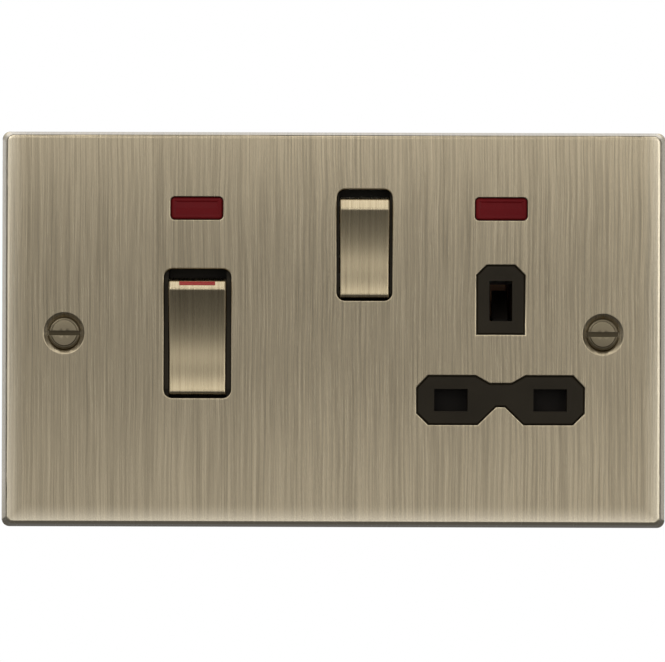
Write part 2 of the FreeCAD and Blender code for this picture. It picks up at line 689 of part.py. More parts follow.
def plate_fasteners():
    rings = []
    for index, (across, up) in enumerate(STUDS, 1):
        body = turned(f"push_on_fastener_{index}",
                      [("stud_radius + trunnion_gap", "0"), ("washer_radius", "0"),
                       ("washer_radius", "washer_gauge * 0.6"), ("stud_radius + trunnion_gap", "washer_gauge")],
                      across, up, "panel_back")
        rings.append(body)
    group("plate_fasteners", rings)


def fixing_screws():
    seat = "(dimple_radius - head_radius)"
    rim_y = f"(face + {seat} - seat_gap)"
    screws = []
    for side, word in (("0 -", "left"), ("0 +", "right")):
        body = turned(f"fixing_screw_{word}",
                      [("0", f"{rim_y} - head_rise"),
                       ("head_radius * 0.8", f"{rim_y} - head_edge - head_rise * 0.42"),
                       ("head_radius", f"{rim_y} - head_edge"), ("head_radius", rim_y),
                       ("neck_radius", f"{rim_y} + head_radius - neck_radius"),
                       ("neck_radius", "0"), ("thread_radius", "0"), ("thread_radius", "thread_length"),
                       ("0", "thread_length")], f"{side} screw_reach", "0")
        recess(body, f"driver_slot_{word}", [rectangle("0", "0", "2 * (head_radius + overcut)", "head_slot")],
               f"{rim_y} - head_rise - overcut", f"{rim_y} - head_rise + head_slot_depth")
        screws.append(body)
    group("fixing_screws", screws)


def front_moulding():
    body = new_body("front_moulding")
    slab(body, "panel", [notched("panel_half_width", "panel_half_height", "plate_lift",
                                 "panel_notch_x", "panel_notch_half")], "sheet_back", "panel_back")
    front = worth("face")
    slab(body, "socket_inserts", [earth_outline("0"), bow_outline("0")], "face", "sheet_back")
    soften(body, "insert_bevels", "insert_bevel", lambda edge: lies_at(edge, front), "Chamfer")
    wells = (("cooker_x", "0", "cooker_well_width", "cooker_well_height", "cooker_hole_width"),
             ("outlet_switch_x", "outlet_switch_z", "outlet_well_width", "outlet_well_height",
              "outlet_hole_width"))
    recess(body, "rocker_wells", [rectangle(x, z, width, height) for x, z, width, height, _ in wells],
           "sheet_back", "panel_back")
    lips = []
    for x, z, width, height, hole in wells:
        inner, outer = f"{width} / 2", f"({hole} / 2 - insert_gap)"
        low, high = f"{z} - {height} / 2 + rocker_hole_corner", f"{z} + {height} / 2 - rocker_hole_corner"
        lips.append(span(f"{x} + {inner}", f"{x} + {outer}", low, high))
        lips.append(span(f"{x} - {outer}", f"{x} - {inner}", low, high))
    slab(body, "side_lips", lips, "sheet_back - lip_rise", "sheet_back")
    pins = [rectangle(x, "pin_row_z", "pin_slot_width", "pin_slot_height") for x in PIN_PLACES]
    pins.append(rectangle("outlet_x", "earth_z", "earth_slot_width", "earth_slot_height"))
    recess(body, "pin_slots", pins, "face", "panel_back")
    flange_width = "neon_width + 2 * lens_flange"
    flange_height = "neon_height + 2 * lens_flange"
    recess(body, "lens_rebates", [rectangle(x, "neon_z", flange_width, flange_height) for x in NEONS],
           "sheet_back", "sheet_back + lens_flange_gauge + lens_gap")
    recess(body, "lamp_windows", [rectangle(x, "neon_z", "neon_width", "neon_height") for x in NEONS],
           "sheet_back", "panel_back")
    recess(body, "strap_window", [rectangle("supply_earth_x", "neon_z - strap_foot / 2",
                                            "strip_width + 2 * strap_gap", "strap_foot + 2 * strap_end_gap")],
           "sheet_back", "panel_back")
    holes(body, "stud_holes", STUDS, "stud_radius + insert_gap", "sheet_back", "panel_back")
    cheek_end = "pivot_y + cheek_beyond"
    cheeks = []
    for x, z, width, _, _ in wells:
        for side in "-+":
            cheeks.append(rectangle(f"{x} {side} ({width} + cheek_gauge) / 2", z, "cheek_gauge", "cheek_height"))
    slab(body, "bearing_cheeks", cheeks, "panel_back", cheek_end)
    for word, (x, z, width, _, _) in zip(("cooker", "outlet"), wells):
        side_round(body, f"{word}_bearings", "pivot_y", z, "trunnion_radius + trunnion_gap",
                   f"{width} + 2 * cheek_gauge + overcut", x, cut=True)
    pegs(body, "posts", POSTS, "post_radius", "panel_back", "post_end")
    holes(body, "pilot_holes", POSTS, "pilot_radius", "pilot_start", "post_end")
    guides = []
    for side in "-+":
        middle = f"outlet_x {side} (shutter_half + shutter_gap + guide_gauge / 2)"
        guides.append(rectangle(middle, "(shutter_top + shutter_base) / 2", "guide_gauge",
                                "shutter_top - shutter_base"))
    guides.append(span("outlet_x - shelf_half", "outlet_x + shelf_half", "shelf_z - shelf_gauge", "shelf_z"))
    slab(body, "shutter_guides", guides, "panel_back", "panel_back + guide_depth + shutter_gauge")
    return body


def rear_housing():
    body = new_body("rear_housing")
    slab(body, "shell_outside", [notched("housing_half_width", "housing_half_height", "0",
                                         "housing_notch_x", "housing_notch_half")], "panel_back", "housing_back")
    outer, back = worth("(housing_half_height + housing_notch_half) / 2"), worth("housing_back")
    soften(body, "housing_corners", "housing_round",
           lambda edge: runs_along(edge, "Y") and abs(edge.CenterOfMass.z) > outer)
    soften(body, "back_edges", "housing_round / 2", lambda edge: lies_at(edge, back), "Chamfer")
    recess(body, "shell_inside", [notched("(housing_half_width - housing_wall)",
                                          "(housing_half_height - housing_wall)", "0",
                                          "(housing_notch_x - housing_wall)",
                                          "(housing_notch_half + housing_wall)")], "panel_back", "housing_floor")
    inner = "(housing_half_height - housing_wall)"
    slab(body, "pole_barrier", [span("cooker_x - pole_rib_gauge / 2", "cooker_x + pole_rib_gauge / 2",
                                     f"0 - {inner}", inner)], "pole_rib_front", "housing_floor")
    slab(body, "cell_ribs", [span("cooker_rib_x", "cooker_rib_x + rib_gauge", f"0 - {inner}", "window_z"),
                             span("outlet_rib_x", "outlet_rib_x + rib_gauge", "earth_high + bar_gap", inner)],
         "rib_front", "housing_floor")
    pegs(body, "tubes", POSTS, "post_radius", "post_end + seat_gap", "housing_floor")
    holes(body, "screw_holes", POSTS, "shank_radius + shank_gap", "post_end", "housing_back")
    holes(body, "head_sinks", POSTS, "pan_radius + shank_gap", "housing_back - pan_sink", "housing_back")
    recess(body, "neutral_channel", [span("cooker_x - strip_width / 2", "outlet_rib_x + strip_width / 2",
                                          "link_low - channel_gap", "link_high + channel_gap")],
           "link_front - channel_gap", "housing_floor")
    relief = "(outlet_cap_width / 2 + relief_gap)"
    recess(body, "rocker_relief", [span(f"outlet_switch_x - {relief}", f"outlet_switch_x + {relief}", inner,
                                        "outlet_switch_z + outlet_wall_half + relief_gap")],
           "panel_back", "panel_back + relief_depth")
    wires = {"top": ("line_terminal_x", "neutral_terminal_x", "supply_earth_x"),
             "base": ("line_terminal_x", "neutral_terminal_x", "load_earth_x")}
    for word, xs in wires.items():
        level = "housing_half_height" if word == "top" else "0 - housing_half_height"
        entry = sketch(body, f"{word}_entries", "XY_Plane", level)
        for x in xs:
            circle(entry, x, "wire_y", "wire_entry")
        cut = body.newObject("PartDesign::Pocket", f"{word}_wire_entries")
        cut.Profile = entry
        cut.Reversed = word == "base"
        bind(cut, "Length", "housing_wall + overcut")
    holes(body, "screw_access", TERMINAL_PLACES, "access_radius", "housing_floor", "housing_back")
    return body


TERMINALS = (("supply_line_terminal", "line_terminal_x", 1), ("supply_neutral_terminal", "neutral_terminal_x", 1),
             ("supply_earth_terminal", "supply_earth_x", 1), ("load_line_terminal", "line_terminal_x", -1),
             ("load_neutral_terminal", "neutral_terminal_x", -1), ("load_earth_terminal", "load_earth_x", -1))
TERMINAL_PLACES = [(x, "block_middle" if up > 0 else "0 - block_middle") for _, x, up in TERMINALS]


def terminals():
    """Brass blocks with a cable hole along Z, and a clamp screw from behind, backed out."""
    screws = []
    for (name, x, _), (_, z) in zip(TERMINALS, TERMINAL_PLACES):
        body = new_body(name)
        slab(body, f"{name}_block", [rectangle(x, z, "block_width", "block_length")],
             "block_front", "housing_floor")
        soften(body, f"{name}_edges", "block_edge", lambda edge: runs_along(edge, "Y"), "Chamfer")
        bore = sketch(body, f"{name}_bore", "XY_Plane", z)
        circle(bore, x, "wire_y", "wire_bore")
        cut = body.newObject("PartDesign::Pocket", f"{name}_cable_hole")
        cut.Profile = bore
        cut.Midplane = True
        bind(cut, "Length", "block_length + overcut")
        holes(body, f"{name}_thread", [(x, z)], "clamp_radius + clamp_gap", "wire_y", "housing_floor")
        screw = doc.addObject("PartDesign::Body", f"{name}_screw")
        pegs(screw, f"{name}_screw_body", [("0", "0")], "clamp_radius", "clamp_tip", "clamp_end")
        recess(screw, f"{name}_screw_slot", [rectangle("0", "0", "clamp_slot", "2 * (clamp_radius + overcut)")],
               "clamp_end - clamp_slot", "clamp_end")
        place(screw, x, "0", z)
        screws.append(screw)
    group("terminal_screws", screws)


def housing_screws():
    shank_end = "pilot_start + pilot_spare"
    head_front = "housing_back - pan_sink"
    screws = []
    for index, (across, up) in enumerate(POSTS, 1):
        body = turned(f"housing_screw_{index}",
                      [("0", shank_end), ("shank_radius", f"{shank_end} + shank_radius"),
                       ("shank_radius", head_front), ("pan_radius", head_front),
                       ("pan_radius", f"{head_front} + pan_height * 0.6"),
                       ("pan_radius * 0.6", f"{head_front} + pan_height"),
                       ("0", f"{head_front} + pan_height")], across, up)
        recess(body, f"housing_screw_{index}_slot", [rectangle("0", "0", "clamp_slot", "2 * (pan_radius + overcut)")],
               f"{head_front} + pan_height / 2", f"{head_front} + pan_height")
        screws.append(body)
    group("housing_screws", screws)


def strip(name, outlines, front):
    """A flat copper strip in the wall's plane."""
    body = new_body(name)
    slab(body, f"{name}_blank", outlines, front, f"{front} + strip_gauge")
    return body


POLES = (("line", "(cooker_x + pole_spread)"), ("neutral", "(cooker_x - pole_spread)"))


def pivot_ears(body, name, x, z):
    """Two ears that stand forward from a bracket's base and hold an arm's pin."""
    inner = "(arm_width / 2 + ear_gap)"
    ears = []
    for side in "-+":
        ears.append(rectangle(f"{x} {side} ({inner} + ear_gauge / 2)", z, "ear_gauge", "2 * ear_half"))
    slab(body, f"{name}_ears", ears, "arm_y - ear_half", "strip_front")
    side_round(body, f"{name}_pin_holes", "arm_y", z, "arm_pin + trunnion_gap",
               f"2 * ({inner} + ear_gauge) + overcut", x, cut=True)


def conductors():
    for word, x in POLES:
        left, right = f"{x} - strip_width / 2", f"{x} + strip_width / 2"
        strip(f"{word}_fixed_contact", [span(left, right, "strip_clear", "block_inner")], "strip_front")
        name = f"{word}_pivot_bracket"
        wide = "(arm_width / 2 + ear_gap + ear_gauge)"
        bracket = strip(name, [[(f"{x} - {wide}", "base_above"), (f"{x} - {wide}", "0 - base_above"),
                                (left, "0 - base_above"), (left, "0 - block_inner"),
                                (right, "0 - block_inner"), (right, "0 - base_above"),
                                (f"{x} + {wide}", "0 - base_above"), (f"{x} + {wide}", "base_above")]],
                        "strip_front")
        pivot_ears(bracket, name, x, "0")
    feed_start = "line_terminal_x + block_width / 2"
    strip("line_link_bar", [span(feed_start, "outlet_switch_x + strip_width / 2", "feed_low", "feed_high")],
          "strip_front")
    line_x, neutral_x = PIN_PLACES[1], PIN_PLACES[0]
    x, z = "outlet_switch_x", "outlet_switch_z"
    bracket = strip("outlet_pivot_bracket",
                    [[(f"{x} - {wide}", f"{z} + base_above"), (f"{x} - {wide}", "drop_low"),
                      (f"{line_x} - strip_width / 2", "drop_low"),
                      (f"{line_x} - strip_width / 2", "pin_row_z - tail_half"),
                      (f"{line_x} + strip_width / 2", "pin_row_z - tail_half"),
                      (f"{line_x} + strip_width / 2", "drop_high"), (f"{x} + {wide}", "drop_high"),
                      (f"{x} + {wide}", f"{z} + base_above")]], "strip_front")
    pivot_ears(bracket, "outlet_pivot_bracket", x, z)
    neutral_start = "neutral_terminal_x - strip_width / 2"
    strip("neutral_link_bar",
          [[(neutral_start, "link_low"), (f"{neutral_x} - strip_width / 2", "link_low"),
            (f"{neutral_x} - strip_width / 2", "pin_row_z - tail_half"),
            (f"{neutral_x} + strip_width / 2", "pin_row_z - tail_half"),
            (f"{neutral_x} + strip_width / 2", "link_high"),
            (f"{neutral_start} + strip_width", "link_high"),
            (f"{neutral_start} + strip_width", "block_inner"), (neutral_start, "block_inner")]], "link_front")
    strip("earth_bar",
          [[("load_earth_x - strip_width / 2", "0 - block_inner"), ("load_earth_x + strip_width / 2", "0 - block_inner"),
            ("load_earth_x + strip_width / 2", "earth_low"), ("outlet_x + strip_width / 2", "earth_low"),
            ("outlet_x + strip_width / 2", "earth_high"), ("supply_earth_x + strip_width / 2", "earth_high"),
            ("supply_earth_x + strip_width / 2", "block_inner"), ("supply_earth_x - strip_width / 2", "block_inner"),
            ("supply_earth_x - strip_width / 2", "earth_high"), ("load_earth_x - strip_width / 2", "earth_high")]],
          "earth_front")
    tips = []
    closed = "(arm_y + tip_reach * sin(arm_tilt) + (arm_gauge / 2 + tip_height) * cos(arm_tilt)"
    closed += " + tip_radius * sin(arm_tilt) + contact_gap)"
    for word, across, up in (("line", POLES[0][1], "0"), ("neutral", POLES[1][1], "0"), ("outlet", x, z)):
        tip = doc.addObject("Part::Cylinder", f"{word}_fixed_tip")
        bind(tip, "Radius", "tip_radius")
        bind(tip, "Height", f"strip_front - {closed}")
        tip.Placement.Rotation = Rotation(Vector(1, 0, 0), -90)
        place(tip, across, closed, f"{up} + tip_reach * cos(arm_tilt)")
        tips.append(tip)
    group("fixed_contact_tips", tips)


def contact_arm(word, x, z):
    """A see-saw arm with its pin, and the contact tip that is riveted to it."""
    arm = new_body(f"{word}_contact_arm")
    ear = "(arm_width / 2 + ear_gap + ear_gauge)"
    side_pad(arm, f"{word}_blade", span("0 - arm_gauge / 2", "arm_gauge / 2", "0 - arm_half", "arm_half"),
             "arm_width")
    side_round(arm, f"{word}_arm_pin", "0", "0", "arm_pin", f"2 * {ear}")
    tip = new_body(f"{word}_arm_tip")
    pegs(tip, f"{word}_tip_face", [("0", "tip_reach")], "tip_radius", "arm_gauge / 2", "arm_gauge / 2 + tip_height")
    for item in (arm, tip):
        place(item, x, "arm_y", z)
        item.Placement.Rotation = Rotation(Vector(1, 0, 0), 1)
        bind(item, "Placement.Rotation.Angle", "0 - arm_tilt")


def rocker_profile(profile, front, wall, inset):
    """Side outline of a rocker about its pivot: dished front, sloping end walls, straight skirt."""
    front_y, wall_y, skirt_y = f"0 - front_reach + {inset}", "0 - wall_reach", "0 - skirt_reach"
    draw(profile, [(skirt_y, f"0 - {wall} + {inset}"), (skirt_y, f"{wall} - {inset}"),
                   (wall_y, f"{wall} - {inset}"), (front_y, f"{front} - {inset} * 0.6"),
                   (front_y, f"0 - {front} + {inset} * 0.6"), (wall_y, f"0 - {wall} + {inset}")])
    doc.recompute()
    chord = 3
    high = profile.Geometry[chord].StartPoint
    radius = worth("dish_radius")
    middle = Vector(high.x - math.sqrt(radius ** 2 - high.y ** 2), 0, 0)
    swing = math.asin(high.y / radius)
    profile.toggleConstruction(chord)
    arc = Part.ArcOfCircle(Part.Circle(middle, Vector(0, 0, 1), radius), -swing, swing)
    index = profile.addGeometry(arc, False)
    profile.addConstraint(Sketcher.Constraint("Coincident", chord, 2, index, 1))
    profile.addConstraint(Sketcher.Constraint("Coincident", chord, 1, index, 2))
    size = profile.addConstraint(Sketcher.Constraint("Radius", index, radius))
    bind(profile, f"Constraints[{size}]", "dish_radius")


def rocker_body(body, name, front, wall, inset, width, cut=False):
    profile = sketch(body, name + "_side", "YZ_Plane")
    rocker_profile(profile, front, wall, inset)
    made = body.newObject("PartDesign::Pocket" if cut else "PartDesign::Pad", name)
    made.Profile = profile
    made.Midplane = True
    bind(made, "Length", width)
    return made


def wall_strip(front, wall, low, high, sink, rise):
    """A slanted four-cornered outline on the upper end wall, between two lengths along it."""
    run = "(front_reach - wall_reach)"
    fall = f"({wall} - {front})"
    slope = f"sqrt({run} ^ 2 + {fall} ^ 2)"
    corners = []
    for along, lift in ((low, f"0 - ({sink})"), (high, f"0 - ({sink})"), (high, rise), (low, rise)):
        y = f"0 - wall_reach - ({along}) * {run} / {slope} - ({lift}) * {fall} / {slope}"
        z = f"{wall} - ({along}) * {fall} / {slope} + ({lift}) * {run} / {slope}"
        corners.append((y, z))
    return corners


def tilt_rocker(item, x, z):
    place(item, x, "pivot_y", z)
    item.Placement.Rotation = Rotation(Vector(1, 0, 0), 1)
    bind(item, "Placement.Rotation.Angle", "rocker_tilt")


def spring_shape(radius, wire, turns, length, start, along_y):
    """An open coil of square wire about Y or Z, laid in short straight runs."""
    sides = 8
    steps = turns * sides
    rise = (length - wire) / steps

    def point(across, up, along):
        return Vector(across, along, up) if along_y else Vector(across, up, along)

    path = []
    for i in range(steps + 1):
        angle = 2 * math.pi * i / sides
        path.append(point(radius * math.cos(angle), radius * math.sin(angle), start + wire / 2 + rise * i))
    half = wire / 2
    corners = [path[0] + point(a * half, 0, b * half) for a, b in ((-1, -1), (1, -1), (1, 1), (-1, 1), (-1, -1))]
    coil = Part.Wire(Part.makePolygon(path))
    return coil.makePipeShell([Part.makePolygon(corners)], True, False, 1)


def plunger_set(word, x, z, offsets):
    """The sprung plungers in a rocker's legs."""
    plungers, springs = [], []
    wire, room = worth("spring_wire"), worth("spring_room - 2 * spring_gap")
    radius, start = worth("plunger_radius - spring_wire"), worth("spring_start + spring_gap")
    for index, offset in enumerate(offsets, 1):
        plunger = doc.addObject("PartDesign::Body", f"{word}_plunger_{index}")
        turn(plunger, [("0", "plunger_start"), ("plunger_radius", "plunger_start"),
                       ("plunger_radius", "plunger_end - plunger_radius * 0.7"),
                       ("plunger_radius * 0.7", "plunger_end - plunger_radius * 0.2"),
                       ("0", "plunger_end")])
        coil = doc.addObject("Part::Feature", f"{word}_plunger_spring_{index}")
        coil.Shape = spring_shape(radius, wire, 4, room, start, True)
        for item, members in ((plunger, plungers), (coil, springs)):
            tilt_rocker(item, f"{x} + ({offset}) * pole_spread", z)
            members.append(item)
    plural = "s" if len(offsets) > 1 else ""
    group(f"{word}_plunger{plural}", plungers)
    group(f"{word}_plunger_spring{plural}", springs)


def rocker(word, x, z, offsets):
    """A rocker: metal cap, moulded core with trunnions and legs, and its plungers."""
    front, wall, width = f"{word}_front_half", f"{word}_wall_half", f"{word}_cap_width"
    half, turn_y = worth(f"{width} / 2"), worth("0 - (skirt_reach + wall_reach) / 2")
    cap = new_body(f"{word}_rocker_cap")
    rocker_body(cap, f"{word}_cap_outside", front, wall, "0", width)
    soften(cap, f"{word}_cap_turns", "cap_turn",
           lambda edge: runs_along(edge, "X") and edge.BoundBox.YMax < turn_y)
    soften(cap, f"{word}_cap_edges", "cap_round",
           lambda edge: abs(abs(edge.CenterOfMass.x) - half) < CLOSE and edge.BoundBox.YLength > CLOSE)
    inside = sketch(cap, f"{word}_cap_inside_side", "YZ_Plane")
    rocker_profile(inside, front, wall, "cap_gauge")
    hollow = cap.newObject("PartDesign::Pocket", f"{word}_cap_inside")
    hollow.Profile = inside
    hollow.Midplane = True
    bind(hollow, "Length", f"{width} - 2 * cap_gauge")
    core = new_body(f"{word}_rocker_core")
    rocker_body(core, f"{word}_core_front", front, wall, "(cap_gauge + core_gap)",
                f"{width} - 2 * (cap_gauge + core_gap)")
    side_pad(core, f"{word}_core_back",
             [("0 - skirt_reach", f"0 - {wall} + cap_gauge + core_gap"),
              ("0 - core_back", "0 - hub_half - hub_flare"), ("0 - core_back", "0 - hub_half"),
              ("hub_back", "0 - hub_half"), ("hub_back", "hub_half"), ("0 - core_back", "hub_half"),
              ("0 - core_back", "hub_half + hub_flare"),
              ("0 - skirt_reach", f"{wall} - cap_gauge - core_gap")],
             f"{width} - 2 * (cap_gauge + core_gap)")
    side_round(core, f"{word}_trunnions", "0", "0", "trunnion_radius",
               f"{word}_well_width + 2 * (cheek_gauge - cheek_end_gap)")
    legs = [rectangle(f"{offset} * pole_spread", "0", "2 * leg_half_width", "2 * leg_half") for offset in offsets]
    slab(core, f"{word}_legs", legs, "0", "leg_end")
    holes(core, f"{word}_leg_bores", [(f"{offset} * pole_spread", "0") for offset in offsets],
          "plunger_radius + plunger_gap", "spring_start", "leg_end")
    if word == "cooker":
        for item in (cap, core):
            profile = sketch(item, f"{item.Name}_strip_slot_side", "YZ_Plane")
            draw(profile, wall_strip(front, wall, "strip_on_low - strip_on_gap", "strip_on_high + strip_on_gap",
                                     "strip_on_depth + strip_on_gap", "overcut"))
            slot = item.newObject("PartDesign::Pocket", f"{item.Name}_strip_slot")
            slot.Profile = profile
            slot.Midplane = True
            bind(slot, "Length", "strip_on_width + 2 * strip_on_gap")
        red = new_body("cooker_on_strip")
        side_pad(red, "strip_bar", wall_strip(front, wall, "strip_on_low", "strip_on_high", "strip_on_depth", "0"),
                 "strip_on_width")
        tilt_rocker(red, x, z)
    for item in (cap, core):
        tilt_rocker(item, x, z)
    plunger_set(word, x, z, offsets)


def lenses():
    front = worth("face - lens_proud")
    for word, x in zip(("cooker", "outlet"), NEONS):
        body = new_body(f"{word}_neon_lens")
        slab(body, f"{word}_lens_face", [rectangle(x, "neon_z", "neon_width - 2 * lens_gap",
                                                   "neon_height - 2 * lens_gap")],
             "face - lens_proud", "panel_back")
        soften(body, f"{word}_lens_corners", "neon_corner - lens_gap", lambda edge: runs_along(edge, "Y"))
        soften(body, f"{word}_lens_edge", "lens_edge", lambda edge: lies_at(edge, front), "Chamfer")
        slab(body, f"{word}_lens_flange", [rectangle(x, "neon_z", "neon_width + 2 * (lens_flange - lens_gap)",
                                                     "neon_height + 2 * (lens_flange - lens_gap)")],
             "sheet_back + lens_seat", "sheet_back + lens_flange_gauge")


def neon_lamps():
    lamps, resistors = [], []
    lamp_y = "(panel_back + lamp_gap + lamp_radius)"
    resistor_y = f"({lamp_y} + lamp_radius + lamp_gap + resistor_radius)"
    for word, x in zip(("cooker", "outlet"), NEONS):
        lamp = doc.addObject("PartDesign::Body", f"{word}_lamp")
        side_round(lamp, f"{word}_lamp_tube", lamp_y, "neon_z", "lamp_radius", "2 * lamp_half", x)
        soften(lamp, f"{word}_lamp_ends", "lamp_radius * 0.6", lambda edge: edge.BoundBox.XLength < 0.01)
        resistor = doc.addObject("PartDesign::Body", f"{word}_resistor")
        side_round(resistor, f"{word}_resistor_tube", resistor_y, "neon_z", "resistor_radius",
                   "2 * resistor_half", x)
        lamps.append(lamp)
        resistors.append(resistor)
    group("neon_lamps", lamps)
    group("neon_resistors", resistors)


def jaw_outline(base, level):
    """A forked contact's outline, from its closed end to two flared jaws."""
    outer, gap, mouth = "(jaw_gap + jaw_gauge)", "jaw_gap", "jaw_mouth"
    upper = [(base, gap), ("jaw_lead", gap), ("jaw_front", mouth), ("jaw_front", f"{mouth} + jaw_gauge"),
             ("jaw_lead", outer), (f"{base} + strip_gauge", outer)]
    lower = [(depth, f"0 - ({up})") for depth, up in reversed(upper)]
    return [(depth, f"{level} + ({up})") for depth, up in upper + lower]


def socket_contacts():
    for word, x, seat in (("line", PIN_PLACES[1], "strip_front"), ("neutral", PIN_PLACES[0], "link_front")):
        body = new_body(f"outlet_{word}_contact")
        side_pad(body, f"outlet_{word}_fork", jaw_outline("pole_base", "pin_row_z"), "pole_jaw_width", x)
        slab(body, f"outlet_{word}_tail", [rectangle(x, "pin_row_z", "strip_width", "2 * tail_half")],
             "pole_base + strip_gauge", seat)
    earth = new_body("outlet_earth_contact")
    profile = sketch(earth, "earth_fork_profile", "XY_Plane", "earth_z")
    draw(profile, [(across, depth) for depth, across in jaw_outline("earth_base", "outlet_x")])
    fork = earth.newObject("PartDesign::Pad", "earth_fork")
    fork.Profile = profile
    fork.Midplane = True
    bind(fork, "Length", "earth_jaw_width")


def plate_earth_strap():
    """A folded strap from the supply earth terminal to the back of the plate."""
    body = new_body("plate_earth_strap")
    top = "neon_z"
    side_pad(body, "strap_fold",
             [("sheet_back", f"{top} - strap_foot"), ("sheet_back", top), ("block_front", top),
              ("block_front", f"{top} - strap_foot"), ("block_front - strap_gauge", f"{top} - strap_foot"),
              ("block_front - strap_gauge", f"{top} - strap_gauge"),
              ("sheet_back + strap_gauge", f"{top} - strap_gauge"),
              ("sheet_back + strap_gauge", f"{top} - strap_foot")], "strip_width", "supply_earth_x")


def shutter():
    body = new_body("shutter")
    back = "(shutter_front + shutter_gauge)"
    side_pad(body, "shutter_plate", span("shutter_front", back, "shutter_base", "shutter_top"),
             "2 * shutter_half", "outlet_x")
    side_pad(body, "tongue", span("shutter_front", back, "shutter_top", "ramp_foot - tongue_drop"),
             "2 * tongue_half", "outlet_x")
    side_pad(body, "ramp", [("shutter_front", "ramp_foot"), ("ramp_reach", "ramp_top"),
                            ("ramp_reach", "ramp_foot - ramp_hook"), (back, "ramp_foot - ramp_root"),
                            ("shutter_front", "ramp_foot - ramp_root")], "2 * ramp_half", "outlet_x")
    coil = doc.addObject("Part::Feature", "shutter_spring")
    room = worth("shutter_base - shelf_z - 2 * spring_gap")
    coil.Shape = spring_shape(worth("shutter_spring_radius"), worth("shutter_wire"), 7, room,
                              worth("spring_gap"), False)
    place(coil, "outlet_x", f"{back} + shutter_spring_back", "shelf_z")
    keep(coil, "shutter_spring")


front_plate()
plate_fasteners()
fixing_screws()
front_moulding()
rear_housing()
terminals()
housing_screws()
conductors()
for pole, pole_x in POLES:
    contact_arm(pole, pole_x, "0")
contact_arm("outlet", "outlet_switch_x", "outlet_switch_z")
rocker("cooker", "cooker_x", "0", (-1, 1))
rocker("outlet", "outlet_switch_x", "outlet_switch_z", (0,))
lenses()
neon_lamps()
socket_contacts()
plate_earth_strap()
shutter()
doc.recompute()

for item in doc.Objects:
    if "Invalid" in item.State or "Error" in item.State:
        raise RuntimeError(f"{item.Name} did not build: {item.State}")
for item in parts:
    if item.Shape.isNull() or not item.Shape.isValid():
        raise RuntimeError(f"{item.Label} has no valid shape")

os.makedirs("parts", exist_ok=True)
for item in parts:
    item.Shape.exportStep(f"parts/{item.Label}.step")
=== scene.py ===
import json
import math
import bmesh
import bpy
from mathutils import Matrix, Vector

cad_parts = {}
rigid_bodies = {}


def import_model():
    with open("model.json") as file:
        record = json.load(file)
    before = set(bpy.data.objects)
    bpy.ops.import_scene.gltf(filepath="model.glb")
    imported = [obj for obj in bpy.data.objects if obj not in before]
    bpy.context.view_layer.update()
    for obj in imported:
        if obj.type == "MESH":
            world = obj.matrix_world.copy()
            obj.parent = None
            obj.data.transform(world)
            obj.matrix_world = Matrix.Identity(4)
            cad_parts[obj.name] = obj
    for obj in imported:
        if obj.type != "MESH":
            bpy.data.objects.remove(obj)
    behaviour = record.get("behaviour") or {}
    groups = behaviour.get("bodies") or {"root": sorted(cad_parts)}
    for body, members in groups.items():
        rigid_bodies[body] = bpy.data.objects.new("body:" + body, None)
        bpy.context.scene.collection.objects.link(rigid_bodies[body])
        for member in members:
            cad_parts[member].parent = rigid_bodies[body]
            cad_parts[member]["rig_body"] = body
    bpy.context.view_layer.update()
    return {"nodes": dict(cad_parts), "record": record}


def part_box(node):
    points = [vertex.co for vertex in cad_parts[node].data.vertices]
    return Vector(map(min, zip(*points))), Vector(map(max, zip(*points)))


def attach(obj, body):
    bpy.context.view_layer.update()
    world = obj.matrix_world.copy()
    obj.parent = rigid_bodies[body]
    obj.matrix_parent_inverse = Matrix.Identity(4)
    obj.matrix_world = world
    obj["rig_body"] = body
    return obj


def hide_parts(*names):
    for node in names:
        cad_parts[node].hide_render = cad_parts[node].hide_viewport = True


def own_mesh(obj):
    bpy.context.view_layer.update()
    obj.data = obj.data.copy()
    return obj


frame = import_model()
NODES = frame["nodes"]
SLOTS = {row["node"]: row["material_slot"] for row in frame["record"]["subparts"]}
MM = 0.001
# vertices nearer than this are merged, and one turn of the brushing's map spans this far, in metres
SAME_PLACE = 0.000002
MAP_SPAN = 0.1

# The photograph's view: straight on, from far enough away for the rim to look as wide as it does
VIEW_DISTANCE = 0.85
VIEW_WIDTH = 0.14877
VIEW_CENTRE = (-0.00024, 0.00063)
VIEW_ROLL = math.radians(0.17)
SENSOR = 36.0

# The plate's box: its corners, the place of its face, its middle and its half sizes
RIM_LOW, RIM_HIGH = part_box("front_plate")
FACE_Y = RIM_LOW.y
RIM_MIDDLE = (RIM_LOW + RIM_HIGH) / 2
RIM_HALF = (RIM_HIGH - RIM_LOW) / 2

# The rockers: dished front, facets towards the ends, straight skirts; sizes about the pivot
PIVOT_Y = 4.8 * MM
TILT = math.radians(7)
FRONT, KNEE, SKIRT = 10.35 * MM, 7.0 * MM, 5.6 * MM
DISH = 55 * MM
DISH_STEPS = 24
LOW_FALL = 0.5 * MM
KNEE_INSET = 0.3 * MM
EDGE_ROLL = 0.45 * MM
CAP_GAUGE = 0.5 * MM

# Each cap: its half width, how far up and down its front and its walls run, where its lower facet
# ends, and how far its upper facet falls back
COOKER_CAP = {"half_width": 6.35 * MM, "front_half": 11.35 * MM, "low_half": 12.1 * MM,
              "wall_half": 13.2 * MM, "low_knee": 12.7 * MM, "fall": 1.2 * MM}
OUTLET_CAP = {"half_width": 5.5 * MM, "front_half": 9.4 * MM, "low_half": 10.2 * MM,
              "wall_half": 11.6 * MM, "low_knee": 10.8 * MM, "fall": 1.5 * MM}
OUTLET_Z = 19.9 * MM

